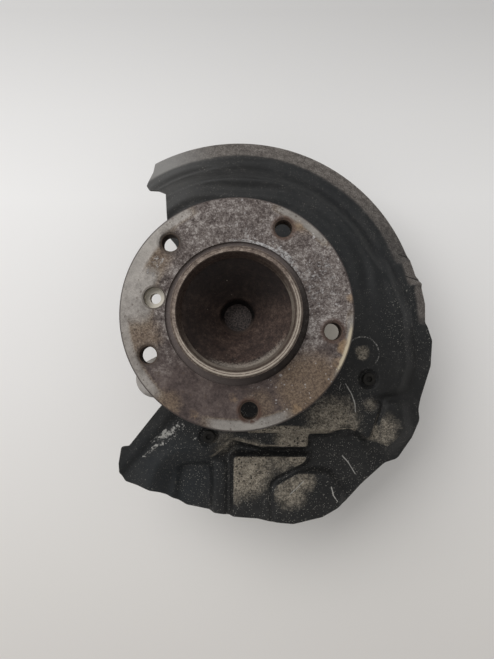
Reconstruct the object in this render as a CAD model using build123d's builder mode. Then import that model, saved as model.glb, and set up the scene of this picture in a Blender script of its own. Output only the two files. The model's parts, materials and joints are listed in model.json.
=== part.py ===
from build123d import *
from math import cos, radians, sin
import os

# Front steering knuckle with its wheel hub, hub bearing and brake dust shield.
# The hub axis is Z. Z = 0 is the face that the brake disc sits on, and +Z points at the wheel.
# +Y is up on the car, and the brake caliper sits on the -X side. Lengths are millimetres.

# ---------------------------------------------------------------- wheel hub
bolt_circle = 120
wheel_bolt_count = 5
first_bolt_angle = 61.3
wheel_thread_bore = 10.5
wheel_thread_mouth = 13.7
flange_margin = 12.3
flange_thickness = 11
flange_edge_chamfer = 1.2
drill_overrun = 1
disc_screw_step = 8.2
disc_screw_bore = 6.8
disc_screw_seat = 13
disc_screw_seat_depth = 6
pilot_diameter = 79
pilot_height = 11
pilot_wall = 3.25
pilot_chamfer = 1.5
relief_width = 4.8
relief_depth = 1.8
bowl_rim_step = 2.75
bowl_rim_height = 2
bowl_floor_diameter = 23
bowl_depth = 25
bowl_fillet = 5
pocket_floor_diameter = 18.7
pocket_depth = 40
neck_diameter = 67
neck_fillet = 3.5
shoulder_diameter = 56
spindle_diameter = 42
rolled_lip_diameter = 52
rolled_lip_thickness = 4
spindle_recess_diameter = 26
spindle_recess_depth = 12

# ---------------------------------------------------------------- hub bearing
flange_to_bearing = 3.5
ball_diameter = 12.7
ball_pitch_diameter = 62
balls_per_row = 13
race_clearance = 0.04
ball_row_spacing = 18
outer_ring_to_first_row = 12.5
outer_ring_diameter = 84
outer_ring_wall = 8
outer_ring_length = 53.5
seal_seat_wall = 4
seal_seat_depth = 5.5
bearing_flange_diameter = 100
bearing_flange_thickness = 12
bearing_bolt_circle = 104
bearing_bolt_count = 4
bearing_ear_radius = 10
bearing_thread_bore = 10.4
inner_ring_length = 26
press_gap = 0.02
seal_lip_clearance = 0.05
seal_thickness = 3.6
seal_case_wall = 1.2
cage_inner_diameter = 58.6
cage_wall = 3.4
cage_width = 13.6
cage_pocket_clearance = 0.15
encoder_wall = 1.2
encoder_diameter = 73

# ---------------------------------------------------------------- dust shield
sheet = 1.2
plate_level = -58
outer_level = -70
rim_level = -76
form_base = -95
crease_radius = 2
plate_radius = 106
shield_gap = 1.5
screw_places = ((94.4, -43.2), (-21.3, -84.4), (18, 66))
screw_seat_diameter = 19
screw_seat_depth = 1.5
screw_thread_bore = 5.6
screw_hole = 6.6
screw_head_diameter = 9.6
screw_head_height = 3.4
screw_socket = 4
screw_socket_depth = 2
screw_length = 13
screw_shank_diameter = 5.5

# ---------------------------------------------------------------- knuckle casting
seat_outer_diameter = 108
seat_depth = 32
bearing_boss_radius = 10.5
bearing_bolt_hole = 12.5
bolt_shank_diameter = 10.3
bolt_head_across_flats = 16
bolt_head_height = 9
bolt_collar_diameter = 22
bolt_collar_thickness = 2
shield_boss_radius = 8
rest_plane = -151
ear_thickness = 18
ear_front = -62
ear_bolt_hole = 12.5
lower_ear = (-61.5, -43)
upper_ear = (-66, 37)
lower_ear_radius = 14
upper_ear_radius = 13
ear_root_radius = 15
clamp_bore = 51
clamp_wall = 8.5
clamp_length = 54
clamp_tilt = 6
clamp_center_y = 96
clamp_slit = 5
clamp_lug_thickness = 13
clamp_lug_reach = 21
clamp_bolt_hole = 12.5
neck_width = 44
arm_width = 26
arm_fillet = 4
control_arm_x = 42
tension_strut_x = -38
ball_boss_y = -92
ball_boss_length = 32
ball_boss_radius = 20
track_rod_x = 118
track_rod_y = -18
track_rod_boss_length = 34
track_rod_boss_radius = 19
sleeve_diameter = 27
nut_room_diameter = 30
nut_room = 18
taper_small_diameter = 14
taper_large_diameter = 17
sensor_bore = 16
sensor_window = 12
sensor_seat_wall = 2
sensor_boss_radius = 12
sensor_boss_reach = 66
sensor_screw_bore = 5
sensor_screw_depth = 14
sensor_screw_offset = 17
sensor_height = -76
shield_boss_length = 34
shield_lug_root = (84, -22)
end_cap_wall = 1.2
end_cap_depth = 4.5
clamp_bolt_diameter = 11.8
clamp_bolt_inset = 12
hex_across_flats = 18
hex_head_height = 8
hex_nut_height = 10
bolt_tip = 3

# ---------------------------------------------------------------- derived places
flange_diameter = bolt_circle + 2 * flange_margin
disc_screw_circle = bolt_circle - 2 * disc_screw_step
pilot_mouth = pilot_diameter - 2 * pilot_wall
bowl_rim_diameter = pilot_mouth - 2 * bowl_rim_step
relief_diameter = pilot_diameter + 2 * relief_width
outer_ring_bore = outer_ring_diameter - 2 * outer_ring_wall
seal_seat_diameter = outer_ring_diameter - 2 * seal_seat_wall
bearing_front = -flange_thickness - flange_to_bearing
outboard_row = bearing_front - outer_ring_to_first_row
inboard_row = outboard_row - ball_row_spacing
inner_ring_front = outboard_row - ball_row_spacing / 2
inner_ring_back = inner_ring_front - inner_ring_length
hub_end = inner_ring_back - rolled_lip_thickness
bearing_back = bearing_front - outer_ring_length
bearing_seat = -56
knuckle_back = bearing_seat - seat_depth
shield_back = plate_level - sheet - screw_seat_depth
clamp_radius = clamp_bore / 2 + clamp_wall
clamp_center_z = rest_plane + clamp_radius * cos(radians(clamp_tilt)) + clamp_length / 2 * sin(radians(clamp_tilt))
ball_boss_z = rest_plane + ball_boss_radius
track_rod_z = rest_plane + track_rod_boss_radius

os.makedirs("parts", exist_ok=True)


def ring_edges(part, diameter, height):
    """Circular edges of one diameter and height round the hub axis."""
    return part.edges().filter_by(GeomType.CIRCLE).filter_by(
        lambda edge: abs(edge.radius - diameter / 2) < 0.01 and abs(edge.arc_center.Z - height) < 0.01
    )


# ================================================================ wheel hub
with BuildPart() as wheel_hub:
    with BuildSketch(Plane.XZ):
        with BuildLine():
            Polyline(
                (0, -pocket_depth),
                (pocket_floor_diameter / 2, -pocket_depth),
                (bowl_floor_diameter / 2, -bowl_depth),
                (bowl_rim_diameter / 2, bowl_rim_height),
                (pilot_mouth / 2, pilot_height),
                (pilot_diameter / 2, pilot_height),
                (pilot_diameter / 2, -relief_depth),
                (relief_diameter / 2, -relief_depth),
                (relief_diameter / 2, 0),
                (flange_diameter / 2, 0),
                (flange_diameter / 2, -flange_thickness),
                (neck_diameter / 2, -flange_thickness),
                (neck_diameter / 2, bearing_front - seal_seat_depth),
                (shoulder_diameter / 2, bearing_front - seal_seat_depth),
                (shoulder_diameter / 2, inner_ring_front),
                (spindle_diameter / 2, inner_ring_front),
                (spindle_diameter / 2, inner_ring_back),
                (rolled_lip_diameter / 2, inner_ring_back),
                (rolled_lip_diameter / 2, hub_end),
                (spindle_recess_diameter / 2, hub_end),
                (spindle_recess_diameter / 2, hub_end + spindle_recess_depth),
                (0, hub_end + spindle_recess_depth),
                close=True,
            )
        make_face()
    revolve(axis=Axis.Z)
    with BuildSketch(Plane.XZ):
        with Locations((ball_pitch_diameter / 2, outboard_row)):
            Circle(ball_diameter / 2 + race_clearance)
    revolve(axis=Axis.Z, mode=Mode.SUBTRACT)
    with PolarLocations(bolt_circle / 2, wheel_bolt_count, start_angle=first_bolt_angle):
        CounterSinkHole(
            wheel_thread_bore / 2,
            wheel_thread_mouth / 2,
            depth=flange_thickness + drill_overrun,
            counter_sink_angle=90,
        )
    with PolarLocations(disc_screw_circle / 2, 1, start_angle=first_bolt_angle + 540 / wheel_bolt_count):
        CounterBoreHole(
            disc_screw_bore / 2,
            disc_screw_seat / 2,
            disc_screw_seat_depth,
            depth=flange_thickness + drill_overrun,
        )
    fillet(ring_edges(wheel_hub, neck_diameter, -flange_thickness), neck_fillet)
    fillet(ring_edges(wheel_hub, bowl_rim_diameter, bowl_rim_height), bowl_fillet)
    fillet(ring_edges(wheel_hub, bowl_floor_diameter, -bowl_depth), bowl_fillet)
    chamfer(ring_edges(wheel_hub, pilot_diameter, pilot_height), pilot_chamfer)
    chamfer(ring_edges(wheel_hub, flange_diameter, 0), flange_edge_chamfer)
    chamfer(ring_edges(wheel_hub, flange_diameter, -flange_thickness), flange_edge_chamfer)
wheel_hub.part.label = "wheel_hub"
export_step(wheel_hub.part, "parts/wheel_hub.step")


def rounded_outline(corners, radius):
    """Closed outline through the corners, each rounded by the radius."""
    FilletPolyline(*corners, radius=radius, close=True)


# ================================================================ hub bearing
with BuildPart() as bearing_outer_ring:
    with BuildSketch(Plane.XZ):
        with BuildLine():
            Polyline(
                (seal_seat_diameter / 2, bearing_front),
                (outer_ring_diameter / 2, bearing_front),
                (outer_ring_diameter / 2, bearing_back),
                (seal_seat_diameter / 2, bearing_back),
                (seal_seat_diameter / 2, bearing_back + seal_seat_depth),
                (outer_ring_bore / 2, bearing_back + seal_seat_depth),
                (outer_ring_bore / 2, bearing_front - seal_seat_depth),
                (seal_seat_diameter / 2, bearing_front - seal_seat_depth),
                close=True,
            )
        make_face()
    revolve(axis=Axis.Z)
    with BuildSketch(Plane.XY.offset(bearing_seat)):
        Circle(bearing_flange_diameter / 2)
        with PolarLocations(bearing_bolt_circle / 2, bearing_bolt_count, start_angle=45):
            Circle(bearing_ear_radius)
        make_hull()
        Circle(outer_ring_diameter / 2 - 1, mode=Mode.SUBTRACT)
    extrude(amount=bearing_flange_thickness)
    for row in (outboard_row, inboard_row):
        with BuildSketch(Plane.XZ):
            with Locations((ball_pitch_diameter / 2, row)):
                Circle(ball_diameter / 2 + race_clearance)
        revolve(axis=Axis.Z, mode=Mode.SUBTRACT)
    with Locations((0, 0, bearing_seat + bearing_flange_thickness)):
        with PolarLocations(bearing_bolt_circle / 2, bearing_bolt_count, start_angle=45):
            Hole(bearing_thread_bore / 2, depth=bearing_flange_thickness)
bearing_outer_ring.part.label = "bearing_outer_ring"
export_step(bearing_outer_ring.part, "parts/bearing_outer_ring.step")

with BuildPart() as bearing_inner_ring:
    with BuildSketch(Plane.XZ):
        with Locations(((spindle_diameter / 2 + press_gap), inner_ring_front)):
            Rectangle(
                (shoulder_diameter - spindle_diameter) / 2 - press_gap,
                inner_ring_length,
                align=(Align.MIN, Align.MAX),
            )
        with Locations((ball_pitch_diameter / 2, inboard_row)):
            Circle(ball_diameter / 2 + race_clearance, mode=Mode.SUBTRACT)
    revolve(axis=Axis.Z)
bearing_inner_ring.part.label = "bearing_inner_ring"
export_step(bearing_inner_ring.part, "parts/bearing_inner_ring.step")


def ball_row(height):
    """One row of balls on the pitch circle."""
    with BuildPart() as balls:
        with Locations((0, 0, height)):
            with PolarLocations(ball_pitch_diameter / 2, balls_per_row):
                Sphere(ball_diameter / 2)
    return balls.part


def ball_cage(height):
    """Ring with a round pocket for each ball of a row."""
    with BuildPart() as cage:
        with Locations((0, 0, height)):
            Cylinder(cage_inner_diameter / 2 + cage_wall, cage_width)
            Cylinder(cage_inner_diameter / 2, cage_width, mode=Mode.SUBTRACT)
            with PolarLocations(ball_pitch_diameter / 2, balls_per_row):
                Cylinder(
                    ball_diameter / 2 + cage_pocket_clearance,
                    3 * cage_wall,
                    rotation=(0, 90, 0),
                    mode=Mode.SUBTRACT,
                )
    return cage.part


for side, row in (("outboard", outboard_row), ("inboard", inboard_row)):
    balls = ball_row(row)
    balls.label = side + "_balls"
    export_step(balls, "parts/" + balls.label + ".step")
    cage = ball_cage(row)
    cage.label = side + "_cage"
    export_step(cage, "parts/" + cage.label + ".step")


def lip_seal(running_diameter, face, inward):
    """Seal ring pressed in the outer ring, with a lip that runs on one diameter."""
    lip = running_diameter / 2 + seal_lip_clearance
    seat = seal_seat_diameter / 2 - press_gap
    middle = (lip + seat) / 2
    with BuildPart() as seal:
        with BuildSketch(Plane.XZ):
            with BuildLine():
                Polyline(
                    (seat, face),
                    (seat, face + inward * seal_thickness),
                    (seat - seal_case_wall, face + inward * seal_thickness),
                    (seat - seal_case_wall, face + inward * seal_case_wall),
                    (middle, face + inward * seal_case_wall),
                    (lip, face + inward * seal_thickness),
                    (lip, face + inward * seal_case_wall),
                    (middle, face),
                    close=True,
                )
            make_face()
        revolve(axis=Axis.Z)
    return seal.part


outboard_seal = lip_seal(neck_diameter, bearing_front - 0.6, -1)
outboard_seal.label = "outboard_seal"
export_step(outboard_seal, "parts/outboard_seal.step")

inboard_seal = lip_seal(shoulder_diameter + 2 * encoder_wall, bearing_back + encoder_wall + 0.5, 1)
inboard_seal.label = "inboard_seal"
export_step(inboard_seal, "parts/inboard_seal.step")

with BuildPart() as encoder_ring:
    with BuildSketch(Plane.XZ):
        with BuildLine():
            Polyline(
                (shoulder_diameter / 2 + press_gap, inner_ring_back + 4),
                (shoulder_diameter / 2 + encoder_wall, inner_ring_back + 4),
                (shoulder_diameter / 2 + encoder_wall, bearing_back + encoder_wall),
                (encoder_diameter / 2, bearing_back + encoder_wall),
                (encoder_diameter / 2, bearing_back),
                (shoulder_diameter / 2 + press_gap, bearing_back),
                close=True,
            )
        make_face()
    revolve(axis=Axis.Z)
encoder_ring.part.label = "encoder_ring"
export_step(encoder_ring.part, "parts/encoder_ring.step")

# ================================================================ dust shield


def pressed_pad(corners, corner_radius, foot, top, draft):
    """Flat-topped pad with drafted walls and a rounded upper crease."""
    with BuildPart() as pad:
        with BuildSketch(Plane.XY.offset(foot)):
            with BuildLine():
                rounded_outline(corners, corner_radius)
            make_face()
        extrude(amount=top - foot, taper=draft)
        fillet(pad.faces().sort_by(Axis.Z)[-1].edges(), crease_radius)
    return pad.part


# The die block has the shape of the sheet's upper side.
plate_outline = (
    (-120, 100), (-120, -46), (-56, -58), (-46, -107), (-22, -107), (-4, -88), (86, -88), (100, -66), (126, -58), (134, -34), (131, 8), (118, 40), (70, 95), (0, 100),
)
lower_tread = ((-20, -84), (84, -82), (84, -60), (-20, -60))
step_pad = ((-8, -98), (56, -97), (56, -70), (-8, -70))
left_panel = ((-13, -178), (36, -178), (23, -128), (33, -110), (62, -108), (60, -94), (-6, -96))
right_panel = ((24, -170), (66, -170), (82, -124), (66, -107), (40, -108), (19, -122))
corner_pad = ((90, -92), (110, -100), (128, -84), (124, -58), (94, -58))
bead_pad = ((-20, -170), (-8, -170), (-8, -103), (-20, -103))
edge_strip = ((-72, -34), (-116, -99), (-95, -114), (-49, -50))
pocket_outline = ((-48, -115), (-47, -137), (-21, -139), (-21, -115), (-27, -109), (-41, -109))
panel_level = -64
step_level = -63
corner_level = -61
bead_level = -67.5
strip_level = -62
pocket_depth_below = 4
rim_sectors = ((20, 110, 127), (12, 8, 130), (-1, 13, 133))
rim_width = 12
rim_fall = 6

with BuildPart() as die_block:
    with BuildSketch(Plane.XY.offset(form_base)):
        Rectangle(400, 400)
    extrude(amount=outer_level - form_base)
    with BuildSketch(Plane.XY.offset(outer_level)):
        Circle(plate_radius + plate_level - outer_level)
    extrude(amount=plate_level - outer_level, taper=45)
    fillet(die_block.faces().sort_by(Axis.Z)[-1].edges(), crease_radius)
    add(pressed_pad(plate_outline, 16, outer_level, plate_level, 45))
    add(pressed_pad(lower_tread, 6, outer_level, plate_level, 15))
    add(pressed_pad(step_pad, 8, outer_level, step_level, 40))
    add(pressed_pad(left_panel, 5.5, outer_level, panel_level, 30))
    add(pressed_pad(right_panel, 10, outer_level, panel_level, 40))
    add(pressed_pad(corner_pad, 10, outer_level, corner_level, 40))
    add(pressed_pad(bead_pad, 3, outer_level, bead_level, 35))
    add(pressed_pad(edge_strip, 6, outer_level, strip_level, 35))
    with BuildSketch(Plane.XY.offset(outer_level)):
        with BuildLine():
            rounded_outline(pocket_outline, 5)
        make_face()
    extrude(amount=-pocket_depth_below, taper=35, mode=Mode.SUBTRACT)
    for start, sweep, inner in rim_sectors:
        with BuildSketch(Plane.XZ.rotated((0, 0, start))):
            with BuildLine():
                Polyline(
                    (inner, outer_level),
                    (inner + 3 * rim_width, outer_level - 3 * rim_fall),
                    (inner + 3 * rim_width, outer_level + 1),
                    (inner, outer_level + 1),
                    close=True,
                )
            make_face()
        revolve(axis=Axis.Z, revolution_arc=sweep, mode=Mode.SUBTRACT)
    with BuildSketch(Plane.XY.offset(plate_level)):
        with Locations(*screw_places):
            Circle(screw_seat_diameter / 2)
    extrude(amount=-screw_seat_depth, taper=45, mode=Mode.SUBTRACT)

with BuildPart() as dust_shield:
    with BuildSketch(Plane.XY.offset(form_base - 5)):
        with BuildLine():
            top_arc = CenterArc((0, 0), 139, 22, 97)
            Polyline(
                top_arc @ 1,
                (-66, 115),
                (-70, 104),
                (-69, 100),
                (-62, 100),
                (-55, 95),
                (-53, 80),
                (-52, 62),
                (-40, 42),
                (0, 20),
                (-40, -42),
                (-57, -64),
                (-78, -91),
                (-85, -92),
                (-86, -104),
                (-85, -117),
                (-62, -127),
                (-50, -134),
                (-39, -139),
                (-8, -144),
                (-5, -146),
                (24, -147.5),
                (28, -149),
            )
            lower_arc = RadiusArc((28, -149), (79, -133.5), 156)
            Polyline(
                lower_arc @ 1,
                (89, -127),
                (91, -122),
                (109, -106),
                (117, -103.5),
            )
            side_arc = RadiusArc((117, -103.5), (135, -74), 156)
            Polyline(
                side_arc @ 1,
                (134, -66),
                (135.5, -58),
                (144, -34),
                (147, -16),
                (142.5, 1),
                (142.5, 14),
                (138, 32),
                (135.5, 34),
                (131, 50),
                top_arc @ 0,
            )
        make_face()
    extrude(amount=60)
    add(die_block.part, mode=Mode.INTERSECT)
    with Locations((0, 0, -sheet)):
        add(die_block.part, mode=Mode.SUBTRACT)
    with BuildSketch(Plane.XY.offset(form_base)):
        Circle(seat_outer_diameter / 2 + shield_gap)
        with PolarLocations(bearing_bolt_circle / 2, bearing_bolt_count, start_angle=45):
            Circle(bearing_boss_radius + shield_gap)
        make_hull()
    extrude(amount=60, mode=Mode.SUBTRACT)
    with BuildSketch(Plane.XY.offset(plate_level)):
        with Locations(*screw_places):
            Circle(screw_hole / 2)
    extrude(amount=-4 * sheet, mode=Mode.SUBTRACT)
dust_shield.part.label = "dust_shield"
export_step(dust_shield.part, "parts/dust_shield.step")

# ================================================================ knuckle casting
with BuildPart() as strut_neck:
    with BuildSketch(Plane.YZ.offset(-neck_width / 2)):
        with BuildLine():
            rounded_outline(
                ((38, -60), (56, -60), (70, -84), (72, -144), (56, -140), (46, -92), (38, -88)), 3
            )
        make_face()
    extrude(amount=neck_width)
    fillet(strut_neck.faces().filter_by(Plane.YZ).edges(), arm_fillet / 2)

clamp_plane = Plane(
    origin=(0, clamp_center_y, clamp_center_z),
    x_dir=(1, 0, 0),
    z_dir=(0, cos(radians(clamp_tilt)), -sin(radians(clamp_tilt))),
)
clamp_bolt_plane = Plane(
    origin=clamp_plane.from_local_coords((-clamp_radius - clamp_bolt_inset, 0, 0)),
    x_dir=(1, 0, 0),
    z_dir=clamp_plane.y_dir,
)
clamp_lug_face = clamp_slit / 2 + clamp_lug_thickness
with BuildPart() as strut_clamp:
    with BuildSketch(clamp_plane.offset(-clamp_length / 2)):
        Circle(clamp_radius)
        with Locations((-clamp_radius, 0)):
            Rectangle(2 * clamp_lug_reach, clamp_slit + 2 * clamp_lug_thickness)
    extrude(amount=clamp_length)

with BuildPart() as steering_arm:
    with BuildSketch(Plane.XZ.offset(-track_rod_y - arm_width / 2)):
        with BuildLine():
            rounded_outline(
                (
                    (30, -60), (62, -63), (104, -84), (126, -112), (122, -146), (96, -132), (62, -98), (44, -90),
                    (30, -88),
                ),
                4,
            )
        make_face()
    extrude(amount=arm_width)
    fillet(steering_arm.faces().filter_by(Plane.XZ).edges(), arm_fillet / 2)


def ball_joint_arm(place_x):
    """Lower arm of the casting, from the bearing seat to a ball-joint boss."""
    with BuildPart() as arm:
        with BuildSketch(Plane.YZ.offset(place_x - arm_width / 2)):
            with BuildLine():
                rounded_outline(
                    ((-18, -60), (-54, -62), (-92, -88), (-104, -112), (-100, -146), (-72, -138), (-44, -92), (-18, -88)),
                    4,
                )
            make_face()
        extrude(amount=arm_width)
        fillet(arm.faces().filter_by(Plane.YZ).edges(), arm_fillet / 2)
    return arm.part


def ear_arm(place, tip_radius, root):
    """Caliper ear with its arm, seen along the hub axis."""
    with BuildPart() as ear:
        with BuildSketch(Plane.XY.offset(ear_front)):
            with Locations(place):
                Circle(tip_radius)
            with Locations(root):
                Circle(ear_root_radius)
            make_hull()
        extrude(amount=-ear_thickness)
        fillet(ear.faces().filter_by(Plane.XY).edges(), arm_fillet / 2)
    return ear.part


def ball_boss(place_x, place_y, height, radius, length):
    """Round boss along Y that holds one tapered sleeve."""
    with BuildPart() as boss:
        with Locations(Plane(origin=(place_x, place_y, height), z_dir=(0, 1, 0))):
            Cylinder(radius, length)
        fillet(boss.faces().filter_by(Plane.XZ).edges(), arm_fillet / 2)
    return boss.part


sleeve_places = (
    Plane(origin=(control_arm_x, ball_boss_y, ball_boss_z), x_dir=(1, 0, 0), z_dir=(0, 1, 0)),
    Plane(origin=(tension_strut_x, ball_boss_y, ball_boss_z), x_dir=(1, 0, 0), z_dir=(0, 1, 0)),
    Plane(origin=(track_rod_x, track_rod_y, track_rod_z), x_dir=(1, 0, 0), z_dir=(0, 1, 0)),
)

with BuildPart() as knuckle_casting:
    with BuildSketch(Plane.XY.offset(knuckle_back)):
        Circle(seat_outer_diameter / 2)
        with PolarLocations(bearing_bolt_circle / 2, bearing_bolt_count, start_angle=45):
            Circle(bearing_boss_radius)
    extrude(amount=seat_depth)
    add(strut_neck.part)
    add(strut_clamp.part)
    add(steering_arm.part)
    add(ball_joint_arm(control_arm_x))
    add(ball_joint_arm(tension_strut_x))
    add(ear_arm(lower_ear, lower_ear_radius, (-34, -30)))
    add(ear_arm(upper_ear, upper_ear_radius, (-34, 30)))
    add(ball_boss(control_arm_x, ball_boss_y, ball_boss_z, ball_boss_radius, ball_boss_length))
    add(ball_boss(tension_strut_x, ball_boss_y, ball_boss_z, ball_boss_radius, ball_boss_length))
    add(ball_boss(track_rod_x, track_rod_y, track_rod_z, track_rod_boss_radius, track_rod_boss_length))
    # sensor boss on the lower side of the bearing seat
    with BuildSketch(Plane.XZ.offset(sensor_boss_reach)):
        with Locations((sensor_screw_offset / 2, sensor_height)):
            SlotCenterToCenter(sensor_screw_offset, 2 * sensor_boss_radius)
    extrude(amount=seat_outer_diameter / 2 - sensor_boss_reach - drill_overrun)
    # shield bosses, the right one on a lug of the steering arm
    with BuildSketch(Plane.XY.offset(shield_back)):
        with Locations(*screw_places):
            Circle(shield_boss_radius)
    extrude(amount=-shield_boss_length)
    with BuildSketch(Plane.XY.offset(shield_back - shield_boss_length)):
        with Locations(screw_places[0], shield_lug_root):
            Circle(shield_boss_radius)
        make_hull()
    extrude(amount=2 * shield_boss_radius)
    # bearing bore, bolt holes and their spot faces
    with Locations((0, 0, bearing_seat)):
        Hole(outer_ring_diameter / 2 + press_gap)
        with PolarLocations(bearing_bolt_circle / 2, bearing_bolt_count, start_angle=45):
            Hole(bearing_bolt_hole / 2)
    with BuildSketch(Plane.XY.offset(knuckle_back)):
        with PolarLocations(bearing_bolt_circle / 2, bearing_bolt_count, start_angle=45):
            Circle(bolt_collar_diameter / 2 + 0.5)
    extrude(amount=-bolt_head_height - bolt_collar_thickness, mode=Mode.SUBTRACT)
    # shield screw holes and caliper ear holes
    with Locations(*[(x, y, shield_back) for x, y in screw_places]):
        Hole(screw_thread_bore / 2, depth=screw_length)
    with Locations(*[(x, y, ear_front) for x, y in (lower_ear, upper_ear)]):
        Hole(ear_bolt_hole / 2, depth=ear_thickness)
    # speed sensor bore and its screw hole
    with BuildSketch(Plane.XZ.offset(sensor_boss_reach)):
        with Locations((0, sensor_height)):
            Circle(sensor_bore / 2)
    extrude(amount=outer_ring_diameter / 2 + sensor_seat_wall - sensor_boss_reach, mode=Mode.SUBTRACT)
    with BuildSketch(Plane.XZ.offset(sensor_boss_reach)):
        with Locations((0, sensor_height)):
            Circle(sensor_window / 2)
    extrude(amount=outer_ring_diameter / 4 - sensor_boss_reach, mode=Mode.SUBTRACT)
    with BuildSketch(Plane.XZ.offset(sensor_boss_reach)):
        with Locations((sensor_screw_offset, sensor_height)):
            Circle(sensor_screw_bore / 2)
    extrude(amount=-sensor_screw_depth, mode=Mode.SUBTRACT)
    # strut clamp bore, slit and pinch bolt hole
    with BuildSketch(clamp_plane.offset(-clamp_length / 2)):
        Circle(clamp_bore / 2)
        Rectangle(
            clamp_radius + clamp_lug_reach + drill_overrun,
            clamp_slit,
            align=(Align.MAX, Align.CENTER),
        )
    extrude(amount=clamp_length + drill_overrun, mode=Mode.SUBTRACT)
    with BuildSketch(clamp_bolt_plane.offset(-clamp_lug_face - drill_overrun)):
        Circle(clamp_bolt_hole / 2)
    extrude(amount=2 * (clamp_lug_face + drill_overrun), mode=Mode.SUBTRACT)
    # seats of the tapered sleeves
    with Locations(*sleeve_places):
        Cylinder(sleeve_diameter / 2, track_rod_boss_length + drill_overrun, mode=Mode.SUBTRACT)
    # room for the nuts of the two lower ball joints
    with BuildSketch(Plane.XZ.offset(-ball_boss_y - ball_boss_length / 2)):
        with Locations((control_arm_x, ball_boss_z), (tension_strut_x, ball_boss_z)):
            Circle(nut_room_diameter / 2)
    extrude(amount=-nut_room, mode=Mode.SUBTRACT)
knuckle_casting.part.label = "knuckle_casting"
export_step(knuckle_casting.part, "parts/knuckle_casting.step")

# ================================================================ fitted pieces


def tapered_sleeve(length):
    """Steel sleeve with the tapered hole of a ball-joint stud, along its own Z."""
    with BuildPart() as sleeve:
        Cylinder(sleeve_diameter / 2 - press_gap, length)
        Cone(taper_large_diameter / 2, taper_small_diameter / 2, length, mode=Mode.SUBTRACT)
    return sleeve.part


for name, place, length in zip(
    ("control_arm_sleeve", "tension_strut_sleeve", "track_rod_sleeve"),
    sleeve_places,
    (ball_boss_length, ball_boss_length, track_rod_boss_length),
):
    sleeve = place.location * tapered_sleeve(length)
    sleeve.label = name
    export_step(sleeve, "parts/" + name + ".step")

with BuildPart() as end_cap:
    with BuildSketch(Plane.XZ):
        with BuildLine():
            Polyline(
                (0, knuckle_back + end_cap_depth),
                (outer_ring_diameter / 2, knuckle_back + end_cap_depth),
                (outer_ring_diameter / 2, knuckle_back + 0.5),
                (outer_ring_diameter / 2 - end_cap_wall, knuckle_back + 0.5),
                (outer_ring_diameter / 2 - end_cap_wall, knuckle_back + end_cap_depth - end_cap_wall),
                (0, knuckle_back + end_cap_depth - end_cap_wall),
                close=True,
            )
        make_face()
    revolve(axis=Axis.Z)
end_cap.part.label = "end_cap"
export_step(end_cap.part, "parts/end_cap.step")

with BuildPart() as bearing_bolts:
    with BuildSketch(Plane.XY.offset(knuckle_back)):
        with PolarLocations(bearing_bolt_circle / 2, bearing_bolt_count, start_angle=45):
            Circle(bolt_shank_diameter / 2)
    extrude(amount=seat_depth + bearing_flange_thickness)
    with BuildSketch(Plane.XY.offset(knuckle_back)):
        with PolarLocations(bearing_bolt_circle / 2, bearing_bolt_count, start_angle=45):
            Circle(bolt_collar_diameter / 2)
    extrude(amount=-bolt_collar_thickness)
    with BuildSketch(Plane.XY.offset(knuckle_back - bolt_collar_thickness)):
        with PolarLocations(bearing_bolt_circle / 2, bearing_bolt_count, start_angle=45):
            RegularPolygon(bolt_head_across_flats / 2, 6, major_radius=False)
    extrude(amount=-bolt_head_height)
bearing_bolts.part.label = "bearing_bolts"
export_step(bearing_bolts.part, "parts/bearing_bolts.step")

screw_seat = plate_level - screw_seat_depth
with BuildPart() as shield_screws:
    with BuildSketch(Plane.XY.offset(screw_seat)):
        with Locations(*screw_places):
            Circle(screw_head_diameter / 2)
    extrude(amount=screw_head_height)
    fillet(shield_screws.faces().sort_by(Axis.Z)[-3:].edges(), screw_head_height / 3)
    with BuildSketch(Plane.XY.offset(screw_seat)):
        with Locations(*screw_places):
            Circle(screw_shank_diameter / 2)
    extrude(amount=-screw_length)
    with BuildSketch(Plane.XY.offset(screw_seat + screw_head_height)):
        with Locations(*screw_places):
            RegularPolygon(screw_socket / 2, 6, major_radius=False)
    extrude(amount=-screw_socket_depth, mode=Mode.SUBTRACT)
shield_screws.part.label = "shield_screws"
export_step(shield_screws.part, "parts/shield_screws.step")

with BuildPart() as strut_clamp_bolt:
    with BuildSketch(clamp_bolt_plane.offset(clamp_lug_face)):
        RegularPolygon(hex_across_flats / 2, 6, major_radius=False)
    extrude(amount=hex_head_height)
    with BuildSketch(clamp_bolt_plane.offset(clamp_lug_face)):
        Circle(clamp_bolt_diameter / 2)
    extrude(amount=-2 * clamp_lug_face - hex_nut_height - bolt_tip)
strut_clamp_bolt.part.label = "strut_clamp_bolt"
export_step(strut_clamp_bolt.part, "parts/strut_clamp_bolt.step")

with BuildPart() as strut_clamp_nut:
    with BuildSketch(clamp_bolt_plane.offset(-clamp_lug_face)):
        RegularPolygon(hex_across_flats / 2, 6, major_radius=False)
        Circle(clamp_bolt_diameter / 2 + press_gap, mode=Mode.SUBTRACT)
    extrude(amount=-hex_nut_height)
strut_clamp_nut.part.label = "strut_clamp_nut"
export_step(strut_clamp_nut.part, "parts/strut_clamp_nut.step")
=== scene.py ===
import json
from math import asin, cos, pi, radians, sin, tan

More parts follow.
